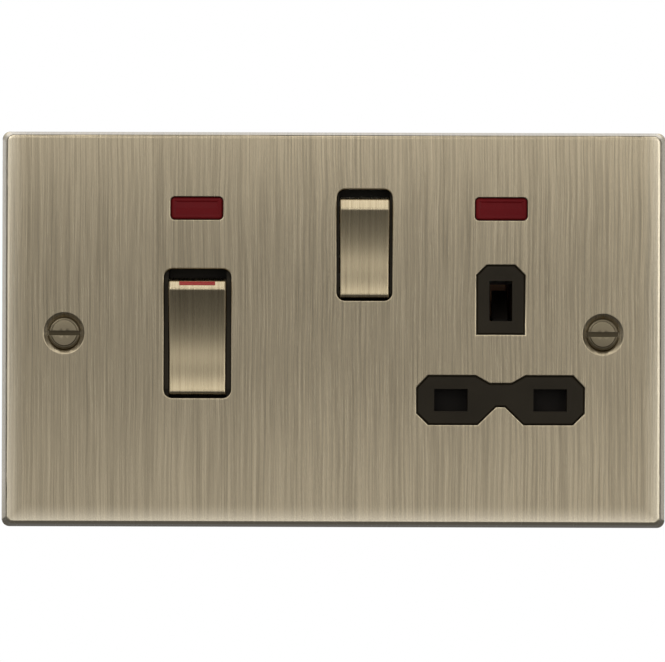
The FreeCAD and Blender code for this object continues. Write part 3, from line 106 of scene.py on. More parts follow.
# The fixing screws, in millimetres: (radius, depth behind the head's front) down the head and shank,
# and (radius, distance from the tail) at the tip
SCREW_REACH = 60.3 * MM
HEAD_PROFILE = ((0.6, 0.0), (1.5, 0.008), (2.3, 0.022), (2.72, 0.05), (2.88, 0.16), (2.96, 0.34),
                (3.04, 0.34), (3.12, 0.26), (3.30, 0.34), (3.45, 0.50), (3.51, 0.68), (3.51, 0.80),
                (1.75, 2.45), (1.45, 2.75), (1.38, 3.2))
TIP_PROFILE = ((1.38, 0.9), (1.0, 0.2), (0.6, 0.0))
# the slot's cutter stands half in front of the head, so the slot is half as deep as it
SLOT_CUTTER = (9 * MM, 1.7 * MM, 1.1 * MM)
THREAD_CORE, THREAD_CREST, THREAD_START = 1.39 * MM, 1.74 * MM, 4.2 * MM
THREAD_PITCH, THREAD_TURNS = 0.6 * MM, 26
# painted shade in the slot: where it starts behind the head's front, how deep it goes, and its half height
SLOT_SHADE_START, SLOT_SHADE_DEPTH, SLOT_SHADE_HALF = 0.4 * MM, 0.7 * MM, 0.535 * MM
PAINTED_SLOT_SHADE = (0.045, 0.036, 0.022)

# Solids that are modelled anew, reshaped or given a mesh of their own, and solids that only get their edges
# shaded soft
REMODELLED = ("front_plate", "fixing_screws", "cooker_rocker_cap", "outlet_rocker_cap", "cooker_on_strip",
              "cooker_neon_lens", "outlet_neon_lens", "shutter_spring")
SOFT_SHADED = ("front_moulding", "rear_housing", "terminal_screws", "housing_screws", "plate_fasteners",
               "neon_lamps", "neon_resistors", "cooker_plungers", "outlet_plunger")


# Small tools for meshes
def deselect():
    for item in bpy.context.selected_objects:
        item.select_set(False)


def pick(item):
    deselect()
    item.select_set(True)
    bpy.context.view_layer.objects.active = item


def edit(item):
    """Open a piece for edit operators, with nothing selected."""
    pick(item)
    bpy.ops.object.mode_set(mode="EDIT")
    bpy.ops.mesh.select_all(action="DESELECT")


def leave_edit():
    bpy.ops.object.mode_set(mode="OBJECT")


def place_applied(item):
    """Put the piece's place into its mesh."""
    pick(item)
    bpy.ops.object.transform_apply(location=True, rotation=True, scale=True)


def finish_modifiers(item):
    pick(item)
    for modifier in list(item.modifiers):
        bpy.ops.object.modifier_apply(modifier=modifier.name)


def soft_shading(item, degrees=35):
    """Smooth across soft turns, with flat faces kept flat."""
    pick(item)
    bpy.ops.object.shade_smooth_by_angle(angle=math.radians(degrees))
    item.modifiers.new("flats", "WEIGHTED_NORMAL").keep_sharp = True
    finish_modifiers(item)


def upright_map(item):
    """A map whose U runs along X and V along Z, so that brushing keeps to one direction."""
    layer = item.data.uv_layers.new(name="upright")
    for loop in item.data.loops:
        place = item.data.vertices[loop.vertex_index].co
        layer.data[loop.index].uv = (place.x / MAP_SPAN, (place.z + place.y) / MAP_SPAN)


def clad(piece, material):
    piece.data.materials.clear()
    piece.data.materials.append(material)


def merged_copy(node):
    """A joined-up copy of a solid, in the solid's place."""
    source = NODES[node]
    piece = source.copy()
    piece.data = source.data.copy()
    for key in list(piece.keys()):
        del piece[key]
    piece.name = node + "_dressed"
    piece.parent = None
    bpy.context.scene.collection.objects.link(piece)
    edit(piece)
    bpy.ops.mesh.select_all(action="SELECT")
    bpy.ops.mesh.remove_doubles(threshold=SAME_PLACE)
    bpy.ops.mesh.dissolve_limited(angle_limit=math.radians(0.3))
    leave_edit()
    return piece


def complete(piece, node, degrees=35):
    """Soft shading, a map and the finish; the piece stands for the node and rides on its body."""
    soft_shading(piece, degrees)
    upright_map(piece)
    clad(piece, FINISHES[SLOTS[node]])
    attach(piece, NODES[node]["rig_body"])
    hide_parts(node)
    return piece


def dressed(node, degrees=35):
    return complete(merged_copy(node), node, degrees)


def select_where(item, faces=None, edges=None):
    """Select faces or edges by place or normal, in edit mode; the test takes the bmesh element."""
    mesh = bmesh.from_edit_mesh(item.data)
    for kind in (mesh.verts, mesh.edges, mesh.faces):
        for element in kind:
            element.select_set(False)
    bpy.ops.mesh.select_mode(type="FACE" if faces else "EDGE")
    for kind, test in ((mesh.edges, edges), (mesh.faces, faces)):
        if test:
            for element in kind:
                if test(element):
                    element.select_set(True)
    mesh.select_flush_mode()
    bmesh.update_edit_mesh(item.data)


def outline_extruded(name, outline, half_width):
    """A closed (y, z) outline, filled and extruded across X."""
    bpy.ops.mesh.primitive_circle_add(vertices=len(outline), radius=0.01)
    piece = bpy.context.object
    piece.name = name
    for vertex, (y, z) in zip(piece.data.vertices, outline):
        vertex.co = (-half_width, y, z)
    edit(piece)
    bpy.ops.mesh.select_all(action="SELECT")
    bpy.ops.mesh.edge_face_add()
    bpy.ops.mesh.extrude_region_move(TRANSFORM_OT_translate={"value": (2 * half_width, 0, 0)})
    bpy.ops.mesh.select_all(action="SELECT")
    bpy.ops.mesh.normals_make_consistent(inside=False)
    leave_edit()
    return piece


def on_pivot(piece, x, z):
    """Tilt a rocker's piece, and put it on its pivot."""
    piece.location = (x, PIVOT_Y, z)
    piece.rotation_euler = (TILT, 0, 0)
    place_applied(piece)


def rocker_cap(node, x, z, half_width, front_half, low_half, wall_half, low_knee, fall):
    """A pressed metal cap with rolled edges; the front runs further down than up."""
    middle = -FRONT - math.sqrt(DISH ** 2 - front_half ** 2)
    arc = []
    for step in range(DISH_STEPS + 1):
        up = front_half - (front_half + low_half) * step / DISH_STEPS
        arc.append((middle + math.sqrt(DISH ** 2 - up ** 2), up))
    upper_end = (-FRONT + fall, wall_half - KNEE_INSET)
    lower_end = (-FRONT + LOW_FALL, -low_knee)
    outline = [(-SKIRT, -wall_half), (-SKIRT, wall_half), (-KNEE, wall_half), upper_end]
    outline += arc + [lower_end, (-KNEE, -wall_half)]
    piece = outline_extruded(node + "_cap", outline, half_width)
    edit(piece)
    select_where(piece, faces=lambda face: face.normal.y > 0.99)
    bpy.ops.mesh.delete(type="ONLY_FACE")

    turns = [arc[0], upper_end, arc[-1], lower_end]

    def rolled(edge):
        first, second = (vertex.co for vertex in edge.verts)
        if abs(first.x - second.x) < 1e-6:
            return min(first.y, second.y) < -SKIRT - 0.05 * MM
        return any(abs(first.y - y) < 1e-5 and abs(first.z - up) < 1e-5 for y, up in turns)

    select_where(piece, edges=rolled)
    bpy.ops.mesh.bevel(offset=EDGE_ROLL, offset_type="OFFSET", segments=4, affect="EDGES", clamp_overlap=True)
    leave_edit()
    shell = piece.modifiers.new("gauge", "SOLIDIFY")
    shell.thickness = CAP_GAUGE
    shell.offset = -1
    finish_modifiers(piece)
    on_pivot(piece, x, z)
    return complete(piece, node, 40)


def on_strip(x, z, cap):
    """The red strip let into the upper facet of the cooker's cap."""
    top = Vector((0, -FRONT + cap["fall"], cap["wall_half"] - KNEE_INSET))
    low = Vector((0, -FRONT, cap["front_half"]))
    run = (low - top).normalized()
    out = Vector((0, run.z, -run.y))
    if out.y > 0:
        out = -out
    start, length, half_width = 0.10 * MM, 1.0 * MM, 4.0 * MM
    buried, edge_lift, middle_lift = -0.3 * MM, 0.05 * MM, 0.12 * MM
    corners = []
    for along, lift in ((start, buried), (start + length, buried), (start + length, edge_lift),
                        (start + length / 2, middle_lift), (start, edge_lift)):
        point = top + run * along + out * lift
        corners.append((point.y, point.z))
    piece = outline_extruded("cooker_on_strip_inlay", corners, half_width)
    edit(piece)
    bpy.ops.mesh.select_all(action="SELECT")
    bpy.ops.mesh.bevel(offset=0.03 * MM, segments=1, affect="EDGES")
    leave_edit()
    on_pivot(piece, x, z)
    return complete(piece, "cooker_on_strip", 20)


def well_shield(name, x, z, half_width, near, far, web):
    """A moulded ledge behind the end of a rocker's well, on a web from the panel's back."""
    front, back, panel, web_gauge = 1.3 * MM, 1.9 * MM, -0.8 * MM, 0.5 * MM
    bpy.ops.mesh.primitive_cube_add(size=1, location=(x, (front + back) / 2, z + (near + far) / 2))
    piece = bpy.context.object
    piece.name = name
    piece.scale = (2 * half_width, back - front, abs(far - near))
    place_applied(piece)
    edit(piece)
    if web:
        split = z + far - math.copysign(web_gauge, far)
        bpy.ops.mesh.select_all(action="SELECT")
        bpy.ops.mesh.bisect(plane_co=(0, 0, split), plane_no=(0, 0, 1))
        select_where(piece, faces=lambda face: face.normal.y < -0.9 and
                     (face.calc_center_median().z - split) * far > 0)
        bpy.ops.mesh.extrude_region_move(TRANSFORM_OT_translate={"value": (0, panel - front, 0)})
    bpy.ops.mesh.select_all(action="SELECT")
    bpy.ops.mesh.bevel(offset=0.08 * MM, segments=1, affect="EDGES")
    leave_edit()
    soft_shading(piece, 30)
    clad(piece, FINISHES["black_moulding"])
    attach(piece, "frame")
    return piece


def turned(name, x, z, profile, segments=64):
    """A piece turned about a line along Y: a disc at the first (radius, y), drawn out through the rest."""
    radius, start = profile[0]
    bpy.ops.mesh.primitive_circle_add(vertices=segments, radius=radius, fill_type="NGON",
                                      location=(x, start, z), rotation=(math.pi / 2, 0, 0))
    piece = bpy.context.object
    piece.name = name
    place_applied(piece)
    bpy.ops.object.mode_set(mode="EDIT")
    bpy.ops.mesh.select_all(action="SELECT")
    y = start
    for wider, deeper in profile[1:]:
        bpy.ops.mesh.extrude_region_move(TRANSFORM_OT_translate={"value": (0, deeper - y, 0)})
        share = wider / radius
        bpy.ops.transform.resize(value=(share, 1, share), center_override=(x, deeper, z))
        radius, y = wider, deeper
    bpy.ops.mesh.select_all(action="SELECT")
    bpy.ops.mesh.normals_make_consistent(inside=False)
    leave_edit()
    return piece


def thread(name, x, z, core, crest, start, pitch, turns):
    """A rolled thread: one pitch of its profile, wound along Y."""
    bpy.ops.mesh.primitive_circle_add(vertices=3, radius=0.001)
    piece = bpy.context.object
    piece.name = name
    edit(piece)
    bpy.ops.mesh.select_all(action="SELECT")
    bpy.ops.mesh.merge(type="CENTER")
    bpy.ops.mesh.select_all(action="SELECT")
    bpy.ops.transform.translate(value=(core, 0, 0))
    flank, top, root = 0.4 * pitch, 0.12 * pitch, 0.08 * pitch
    for across, along in ((crest - core, flank), (0, top), (core - crest, flank), (0, root)):
        bpy.ops.mesh.extrude_vertices_move(TRANSFORM_OT_translate={"value": (across, along, 0)})
    leave_edit()
    winding = piece.modifiers.new("winding", "SCREW")
    winding.axis = "Y"
    winding.screw_offset = pitch
    winding.iterations = turns
    winding.steps = winding.render_steps = 20
    winding.use_merge_vertices = True
    winding.merge_threshold = SAME_PLACE
    finish_modifiers(piece)
    edit(piece)
    bpy.ops.mesh.select_all(action="SELECT")
    bpy.ops.mesh.remove_doubles(threshold=SAME_PLACE)
    bpy.ops.mesh.select_all(action="DESELECT")
    bpy.ops.mesh.select_mode(type="EDGE")
    bpy.ops.mesh.select_non_manifold()
    bpy.ops.mesh.fill_holes(sides=0)
    bpy.ops.mesh.select_all(action="SELECT")
    bpy.ops.mesh.normals_make_consistent(inside=False)
    leave_edit()
    piece.location = (x, start, z)
    place_applied(piece)
    return piece


def fixing_screws():
    """Raised countersunk screws: turned head with a milled slot, and a rolled thread."""
    low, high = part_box("fixing_screws")
    front, tail = low.y, high.y
    profile = [(radius * MM, front + depth * MM) for radius, depth in HEAD_PROFILE]
    profile += [(radius * MM, tail - short * MM) for radius, short in TIP_PROFILE]
    parts = []
    for side in (-1, 1):
        x = side * SCREW_REACH
        head = turned("fixing_screw", x, 0, profile)
        bpy.ops.mesh.primitive_cube_add(size=1, location=(x, front, 0))
        cutter = bpy.context.object
        cutter.scale = SLOT_CUTTER
        place_applied(cutter)
        slot = head.modifiers.new("slot", "BOOLEAN")
        slot.operation, slot.object, slot.solver = "DIFFERENCE", cutter, "EXACT"
        edges = head.modifiers.new("slot_edges", "BEVEL")
        edges.width, edges.segments = 0.05 * MM, 2
        edges.limit_method, edges.angle_limit = "ANGLE", math.radians(60)
        finish_modifiers(head)
        bpy.data.objects.remove(cutter, do_unlink=True)
        winding = thread("screw_thread", x, 0, THREAD_CORE, THREAD_CREST, front + THREAD_START,
                         THREAD_PITCH, THREAD_TURNS)
        parts += [head, winding]
    deselect()
    for part in parts:
        part.select_set(True)
    bpy.context.view_layer.objects.active = parts[0]
    bpy.ops.object.join()
    parts[0].name = "fixing_screws_turned"
    return complete(parts[0], "fixing_screws", 30)


def plate_piece():
    """The pressed plate, with the edges of its cut-outs broken and its face's border further out."""
    piece = merged_copy("front_plate")
    edit(piece)

    def cut_edge(edge):
        if any(abs(vertex.co.y - FACE_Y) > 0.01 * MM for vertex in edge.verts) or len(edge.link_faces) != 2:
            return False
        turns = sorted(abs(face.normal.y) for face in edge.link_faces)
        return turns[0] < 0.05 and turns[1] > 0.95

    select_where(piece, edges=cut_edge)
    bpy.ops.mesh.bevel(offset=0.12 * MM, offset_type="OFFSET", segments=2, affect="EDGES", clamp_overlap=True)
    leave_edit()
    # the move grows from nothing at the foot of the flare to all of it at the top, so the flare stands
    # steeper than the solid's and the rim looks as narrow as it does in the photograph
    border, wider, taller = 5 * MM, 0.5 * MM, 1.0 * MM
    flare_foot, flare_rise = -0.9 * MM, 3.1 * MM
    for vertex in piece.data.vertices:
        share = min(max((flare_foot - vertex.co.y) / flare_rise, 0), 1)
        for axis, middle, half, lift in (("x", RIM_MIDDLE.x, RIM_HALF.x, wider * share),
                                         ("z", RIM_MIDDLE.z, RIM_HALF.z, taller * share)):
            away = getattr(vertex.co, axis) - middle
            if half - abs(away) < border:
                setattr(vertex.co, axis, middle + away + math.copysign(lift, away))
    return complete(piece, "front_plate")


def lens_piece(node):
    """A neon's lens, its front let in with two facets."""
    piece = merged_copy(node)
    low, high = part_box(node)
    lip, slope, let_in = 0.30 * MM, 0.35 * MM, 0.12 * MM
    facet_band, facet_fall, facet_draw = 0.5 * MM, 0.22 * MM, 0.4 * MM
    edit(piece)
    select_where(piece, faces=lambda face: face.normal.y < -0.99 and
                 face.calc_center_median().y < low.y + 0.02 * MM)
    bpy.ops.mesh.inset(thickness=lip, use_even_offset=True)
    bpy.ops.mesh.inset(thickness=slope, depth=-let_in, use_even_offset=True)
    middle = (low.z + high.z) / 2 + 0.1 * MM
    bpy.ops.mesh.bisect(plane_co=(0, 0, middle), plane_no=(0, 0, 1))
    mesh = bmesh.from_edit_mesh(piece.data)
    inner = [vertex for vertex in mesh.verts if abs(vertex.co.y - (low.y + let_in)) < 0.005 * MM]
    top_z = max((vertex.co.z for vertex in inner), default=middle)
    for vertex in inner:
        if vertex.co.z > top_z - facet_band:
            vertex.co.y += facet_fall
            vertex.co.x += math.copysign(facet_draw, (low.x + high.x) / 2 - vertex.co.x)
    bmesh.update_edit_mesh(piece.data)
    leave_edit()
    return complete(piece, node, 12)


def shutter_coil():
    """The shutter's spring, dressed like the other solids, on a mesh of its own."""
    piece = dressed("shutter_spring")
    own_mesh(piece)


# Node groups that several finishes share
def group_with(name, inputs, outputs):
    made = bpy.data.node_groups.new(name, "ShaderNodeTree")
    for label, kind, value in inputs:
        socket = made.interface.new_socket(label, in_out="INPUT", socket_type=kind)
        if value is not None:
            socket.default_value = value
    for label, kind in outputs:
        made.interface.new_socket(label, in_out="OUTPUT", socket_type=kind)
    return made, made.nodes.new("NodeGroupInput"), made.nodes.new("NodeGroupOutput")


class Wiring:
    """Adds nodes to a tree and joins them, left to right."""

    def __init__(self, tree):
        self.tree = tree
        self.across = 0

    def join(self, value, socket):
        self.tree.links.new(value, socket)

    def node(self, kind, inputs=None, **settings):
        made = self.tree.nodes.new(kind)
        self.across += 180
        made.location = (self.across, 0)
        for key, value in settings.items():
            setattr(made, key, value)
        for key, value in (inputs or {}).items():
            if isinstance(value, bpy.types.NodeSocket):
                self.join(value, made.inputs[key])
            else:
                made.inputs[key].default_value = value
        return made

    def math(self, operation, first, second=0.0, clamp=False):
        made = self.node("ShaderNodeMath", {0: first, 1: second}, operation=operation, use_clamp=clamp)
        return made.outputs[0]

    def ramp(self, value, stops):
        made = self.node("ShaderNodeValToRGB", {"Fac": value})
        while len(made.color_ramp.elements) < len(stops):
            made.color_ramp.elements.new(0.5)
        for element, (position, shade) in zip(made.color_ramp.elements, stops):
            element.position = position
            element.color = (shade, shade, shade, 1)
        return made.outputs["Color"]

    def mix(self, share, first, second):
        made = self.node("ShaderNodeMix", {0: share}, data_type="RGBA")
        for index, value in ((6, first), (7, second)):
            if isinstance(value, bpy.types.NodeSocket):
                self.join(value, made.inputs[index])
            else:
                made.inputs[index].default_value = (*value, 1) if len(value) == 3 else value
        return made.outputs[2]


def brushing_group():
    """Upright brush marks: long streaks of tone, fine scratches and their height."""
    made, inlet, outlet = group_with(
        "upright_brushing",
        [("Coordinates", "NodeSocketVector", None), ("Marks per metre", "NodeSocketFloat", 5000.0),
         ("Length share", "NodeSocketFloat", 0.006), ("Sway", "NodeSocketFloat", 0.0009)],
        [("Tone", "NodeSocketFloat"), ("Height", "NodeSocketFloat")])
    wires = Wiring(made)
    split = wires.node("ShaderNodeSeparateXYZ", {"Vector": inlet.outputs["Coordinates"]})
    along = wires.math("MULTIPLY", wires.math("SUBTRACT", split.outputs["Z"], split.outputs["Y"]),
                       inlet.outputs["Length share"])
    sway_place = wires.node("ShaderNodeVectorMath", {0: inlet.outputs["Coordinates"], "Scale": 45.0},
                            operation="SCALE")
    sway = wires.node("ShaderNodeTexNoise", {"Vector": sway_place.outputs[0], "Scale": 1.0, "Detail": 1.0})
    across = wires.math("ADD", split.outputs["X"],
                        wires.math("MULTIPLY", sway.outputs["Fac"], inlet.outputs["Sway"]))
    flat = wires.node("ShaderNodeCombineXYZ", {"X": across, "Y": along})
    scaled = wires.node("ShaderNodeVectorMath",
                        {0: flat.outputs[0], "Scale": inlet.outputs["Marks per metre"]}, operation="SCALE")
    fine = wires.node("ShaderNodeTexNoise", {"Vector": scaled.outputs[0], "Scale": 1.0, "Detail": 3.0,
                                             "Roughness": 0.65}, noise_dimensions="2D")
    wide_place = wires.node("ShaderNodeVectorMath", {0: scaled.outputs[0], 1: (0.21, 0.35, 1.0)},
                            operation="MULTIPLY")
    wide = wires.node("ShaderNodeTexNoise", {"Vector": wide_place.outputs[0], "Scale": 1.0, "Detail": 2.0,
                                             "Roughness": 0.5}, noise_dimensions="2D")
    tone = wires.math("ADD", wires.math("MULTIPLY", fine.outputs["Fac"], 0.5),
                      wires.math("MULTIPLY", wide.outputs["Fac"], 0.5))
    wires.join(tone, outlet.inputs["Tone"])
    wires.join(fine.outputs["Fac"], outlet.inputs["Height"])
    return made


def speckle_group():
    """The fine grain of a moulded or cast surface, and faint uneven sheen."""
    made, inlet, outlet = group_with(
        "moulded_grain",
        [("Coordinates", "NodeSocketVector", None), ("Grains per metre", "NodeSocketFloat", 3500.0)],
        [("Grain", "NodeSocketFloat"), ("Cloud", "NodeSocketFloat")])
    wires = Wiring(made)
    fine = wires.node("ShaderNodeTexNoise", {"Vector": inlet.outputs["Coordinates"],
                                             "Scale": inlet.outputs["Grains per metre"], "Detail": 2.0})
    cloud_scale = wires.math("MULTIPLY", inlet.outputs["Grains per metre"], 0.02)
    cloud = wires.node("ShaderNodeTexNoise", {"Vector": inlet.outputs["Coordinates"], "Scale": cloud_scale,
                                              "Detail": 3.0})
    wires.join(fine.outputs["Fac"], outlet.inputs["Grain"])
    wires.join(cloud.outputs["Fac"], outlet.inputs["Cloud"])
    return made


def edge_highlight_group():
    """How near a place is to a plate's left, right or lower edge, 0 inside and 1 at the edge: the mask of a
    painted highlight.
    """
    made, inlet, outlet = group_with(
        "burnished_edge",
        [("Coordinates", "NodeSocketVector", None), ("Middle", "NodeSocketVector", (0, 0, 0)),
         ("Half width", "NodeSocketFloat", 0.07), ("Half height", "NodeSocketFloat", 0.04),
         ("Reach", "NodeSocketFloat", 0.003)],
        [("Edge", "NodeSocketFloat")])
    wires = Wiring(made)
    place = wires.node("ShaderNodeVectorMath", {0: inlet.outputs["Coordinates"], 1: inlet.outputs["Middle"]},
                       operation="SUBTRACT")
    split = wires.node("ShaderNodeSeparateXYZ", {"Vector": place.outputs[0]})
    shares = []
    sideways = wires.math("ABSOLUTE", split.outputs["X"])
    downwards = wires.math("MULTIPLY", split.outputs["Z"], -1.0)
    for away, half in ((sideways, "Half width"), (downwards, "Half height")):
        gap = wires.math("SUBTRACT", inlet.outputs[half], away)
        near = wires.math("SUBTRACT", 1.0, wires.math("DIVIDE", gap, inlet.outputs["Reach"]), clamp=True)
        shares.append(wires.math("POWER", near, 2.0))
    wires.join(wires.math("MAXIMUM", *shares), outlet.inputs["Edge"])
    return made


BRUSHING = brushing_group()
SPECKLE = speckle_group()
EDGE_HIGHLIGHT = edge_highlight_group()
# where the plate's painted edge highlight lies, and how far it reaches in
PLATE_EDGE = {"Middle": RIM_MIDDLE, "Half width": RIM_HALF.x, "Half height": RIM_HALF.z, "Reach": 0.0058}


# The finishes: each material keeps its own Principled shader, and its patterns read Object coordinates
def new_finish(name):
    made = bpy.data.materials.new(name)
    made.use_nodes = True
    tree = made.node_tree
    wires = Wiring(tree)
    shader = tree.nodes["Principled BSDF"]
    shader.location = (2600, 0)
    tree.nodes["Material Output"].location = (2900, 0)
    place = wires.node("ShaderNodeTexCoord").outputs["Object"]
    return made, wires, shader, place


def placed_group(wires, group, place, values):
    """A node group on the surface's coordinates, with this material's own values."""
    made = wires.node("ShaderNodeGroup", {}, node_tree=group)
    wires.join(place, made.inputs["Coordinates"])
    for label, value in values.items():
        made.inputs[label].default_value = value
    return made.outputs


def uneven_roughness(wires, shader, pattern, middle, swing):
    """Roughness that swings about its middle value with a pattern."""
    rough = wires.math("ADD", wires.math("MULTIPLY", pattern, swing), middle - swing / 2)
    wires.join(rough, shader.inputs["Roughness"])


def relief(wires, shader, pattern, strength, depth):
    height = wires.node("ShaderNodeBump", {"Height": pattern, "Strength": strength, "Distance": depth})
    wires.join(height.outputs[0], shader.inputs["Normal"])


def brushed_brass(name, light, dark, roughness, marks, contrast=1.0, bump=0.12, along=0.7, burnished=None):
    """Brass with upright brush marks, and a painted highlight, a lighter tone along the plate's sides and
    lower edge, where one is given.
    """
    made, wires, shader, place = new_finish(name)
    brushing = placed_group(wires, BRUSHING, place, {"Marks per metre": marks})
    spread = 0.22 / contrast
    tone = wires.ramp(brushing["Tone"], ((0.5 - spread, 0), (0.5 + spread, 1)))
    shade = wires.mix(tone, dark, light)
    # painted highlight: the base colour turns lighter towards the plate's sides and lower edge
    if burnished:
        edge = placed_group(wires, EDGE_HIGHLIGHT, place, PLATE_EDGE)
        shade = wires.mix(edge["Edge"], shade, burnished)
    wires.join(shade, shader.inputs["Base Color"])
    uneven_roughness(wires, shader, brushing["Height"], roughness, 0.12)
    shader.inputs["Metallic"].default_value = 1.0
    shader.inputs["Anisotropic"].default_value = along
    shader.inputs["Anisotropic Rotation"].default_value = 0.0
    tangent = wires.node("ShaderNodeTangent", direction_type="UV_MAP", uv_map="upright")
    wires.join(tangent.outputs[0], shader.inputs["Tangent"])
    relief(wires, shader, brushing["Height"], bump, 0.00002)
    return made


def plain_metal(name, colour, dull, roughness, marks=2500.0, bump=0.1, slot_from=None):
    """A stamped, turned or plated metal with faint cloudy tarnish, and painted shade in a driving slot along
    X.
    """
    made, wires, shader, place = new_finish(name)
    grain = placed_group(wires, SPECKLE, place, {"Grains per metre": marks})
    cloud = wires.ramp(grain["Cloud"], ((0.35, 0), (0.7, 1)))
    shade = wires.mix(cloud, colour, dull)
    if slot_from is not None:
        # painted shade: the slot's walls and floor are darkened
        split = wires.node("ShaderNodeSeparateXYZ", {"Vector": place})
        deep = wires.math("GREATER_THAN", split.outputs["Y"], slot_from)
        shallow = wires.math("LESS_THAN", split.outputs["Y"], slot_from + SLOT_SHADE_DEPTH)
        inside = wires.math("LESS_THAN", wires.math("ABSOLUTE", split.outputs["Z"]), SLOT_SHADE_HALF)
        slot_shade = wires.math("MULTIPLY", wires.math("MULTIPLY", deep, shallow), inside)
        shade = wires.mix(slot_shade, shade, PAINTED_SLOT_SHADE)
    wires.join(shade, shader.inputs["Base Color"])
    uneven_roughness(wires, shader, grain["Cloud"], roughness, 0.18)
    shader.inputs["Metallic"].default_value = 1.0
    relief(wires, shader, grain["Grain"], bump, 0.00003)
    return made


def plastic(name, colour, worn, roughness, grains=5000.0, bump=0.25, gloss=0.5):
    """A moulded plastic or a paper: fine grain, and a faintly uneven tone and sheen."""
    made, wires, shader, place = new_finish(name)
    shader.inputs["Specular IOR Level"].default_value = gloss
    grain = placed_group(wires, SPECKLE, place, {"Grains per metre": grains})
    cloud = wires.ramp(grain["Cloud"], ((0.3, 0), (0.75, 1)))
    wires.join(wires.mix(cloud, colour, worn), shader.inputs["Base Color"])
    uneven_roughness(wires, shader, grain["Cloud"], roughness, 0.15)
    relief(wires, shader, grain["Grain"], bump, 0.00003)
    return made


def red_lens():
    """Dark red moulded lens, in two faintly clouded tones."""
    made, wires, shader, place = new_finish("red_lens")
    grain = placed_group(wires, SPECKLE, place, {"Grains per metre": 1500.0})
    cloud = wires.ramp(grain["Cloud"], ((0.35, 0), (0.65, 1)))
    deep_red, light_red = (0.064, 0.0025, 0.0035), (0.085, 0.004, 0.005)
    wires.join(wires.mix(cloud, deep_red, light_red), shader.inputs["Base Color"])
    shader.inputs["Roughness"].default_value = 0.3
    shader.inputs["Specular IOR Level"].default_value = 0.05
    return made


def glass():
    made, _, shader, _ = new_finish("lamp_glass")
    shader.inputs["Base Color"].default_value = (0.95, 0.86, 0.8, 1)
    shader.inputs["Roughness"].default_value = 0.02
    shader.inputs["Transmission Weight"].default_value = 1.0
    shader.inputs["IOR"].default_value = 1.5
    return made


FINISHES = {
    # the plate's lighter tone along its sides and lower edge is a painted highlight
    "plate": brushed_brass("plate_brass", light=(0.355, 0.300, 0.207), dark=(0.222, 0.186, 0.127),
                           roughness=0.25, marks=8500.0, contrast=1.45, along=0.85,
                           burnished=(0.70, 0.63, 0.49)),
    "rocker_metal": brushed_brass("rocker_brass", light=(0.40, 0.335, 0.22), dark=(0.27, 0.22, 0.14),
                                  roughness=0.28, marks=6500.0),
    # the darkening in the screws' slot is painted shade
    "screw_metal": plain_metal("screw_brass", (0.18, 0.15, 0.10), (0.11, 0.092, 0.06), roughness=0.34,
                               bump=0.3, slot_from=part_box("fixing_screws")[0].y + SLOT_SHADE_START),
    "black_moulding": plastic("black_moulding", (0.011, 0.0086, 0.0050), (0.0145, 0.0113, 0.0066),
                              roughness=0.42, gloss=0.06),
    "housing": plastic("housing_plastic", (0.60, 0.60, 0.57), (0.575, 0.575, 0.545), roughness=0.45),
    "rocker_core": plastic("rocker_core_plastic", (0.010, 0.010, 0.010), (0.016, 0.016, 0.016),
                           roughness=0.45, gloss=0.2),
    "red_strip": plastic("red_strip_plastic", (0.22, 0.014, 0.010), (0.18, 0.010, 0.008),
                         roughness=0.4, bump=0.05, gloss=0.15),
    "lens": red_lens(),
    "shutter": plastic("shutter_plastic", (0.004, 0.0031, 0.0022), (0.006, 0.0045, 0.003),
                       roughness=0.5, gloss=0.05),
    "terminal_brass": plain_metal("terminal_brass", (0.68, 0.50, 0.23), (0.50, 0.34, 0.15), roughness=0.28),
    "copper": plain_metal("strip_copper", (0.26, 0.15, 0.09), (0.14, 0.08, 0.05), roughness=0.4),
    "contact_silver": plain_metal("contact_silver", (0.82, 0.81, 0.78), (0.65, 0.64, 0.6), roughness=0.25),
    "zinc": plain_metal("zinc_plating", (0.66, 0.66, 0.64), (0.5, 0.5, 0.47), roughness=0.3),
    "spring_steel": plain_metal("spring_wire", (0.52, 0.52, 0.52), (0.4, 0.4, 0.4), roughness=0.28),
    "lamp_glass": glass(),
    "resistor": plastic("resistor_lacquer", (0.60, 0.45, 0.27), (0.52, 0.38, 0.22), roughness=0.3, bump=0.05),
}


def middle_x(node):
    low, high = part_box(node)
    return (low.x + high.x) / 2


def finish_solids():
    """Every solid that stays gets its finish, and what shows is dressed or modelled anew."""
    plate_piece()
    fixing_screws()
    cooker_x, outlet_x = middle_x("cooker_rocker_cap"), middle_x("outlet_rocker_cap")
    rocker_cap("cooker_rocker_cap", cooker_x, 0, **COOKER_CAP)
    rocker_cap("outlet_rocker_cap", outlet_x, OUTLET_Z, **OUTLET_CAP)
    on_strip(cooker_x, 0, COOKER_CAP)
    # each shield: its well's middle, then in millimetres its half width and its ends from that middle
    for name, x, z, half_width, near, far, web in (
            ("cooker_well_shield_0", cooker_x, 0, 6.5, -11.3, -15.5, True),
            ("cooker_well_shield_1", cooker_x, 0, 6.5, 11.3, 15.5, True),
            ("outlet_well_shield_0", outlet_x, OUTLET_Z, 5.7, -9.3, -13.5, True),
            ("outlet_well_shield_1", outlet_x, OUTLET_Z, 5.7, 9.9, 12.5, False)):
        well_shield(name, x, z, half_width * MM, near * MM, far * MM, web)
    for node in ("cooker_neon_lens", "outlet_neon_lens"):
        lens_piece(node)
    for node in SOFT_SHADED:
        dressed(node)
    shutter_coil()
    for node, item in NODES.items():
        if node not in REMODELLED + SOFT_SHADED:
            item.data.materials.clear()
            item.data.materials.append(FINISHES[SLOTS[node]])


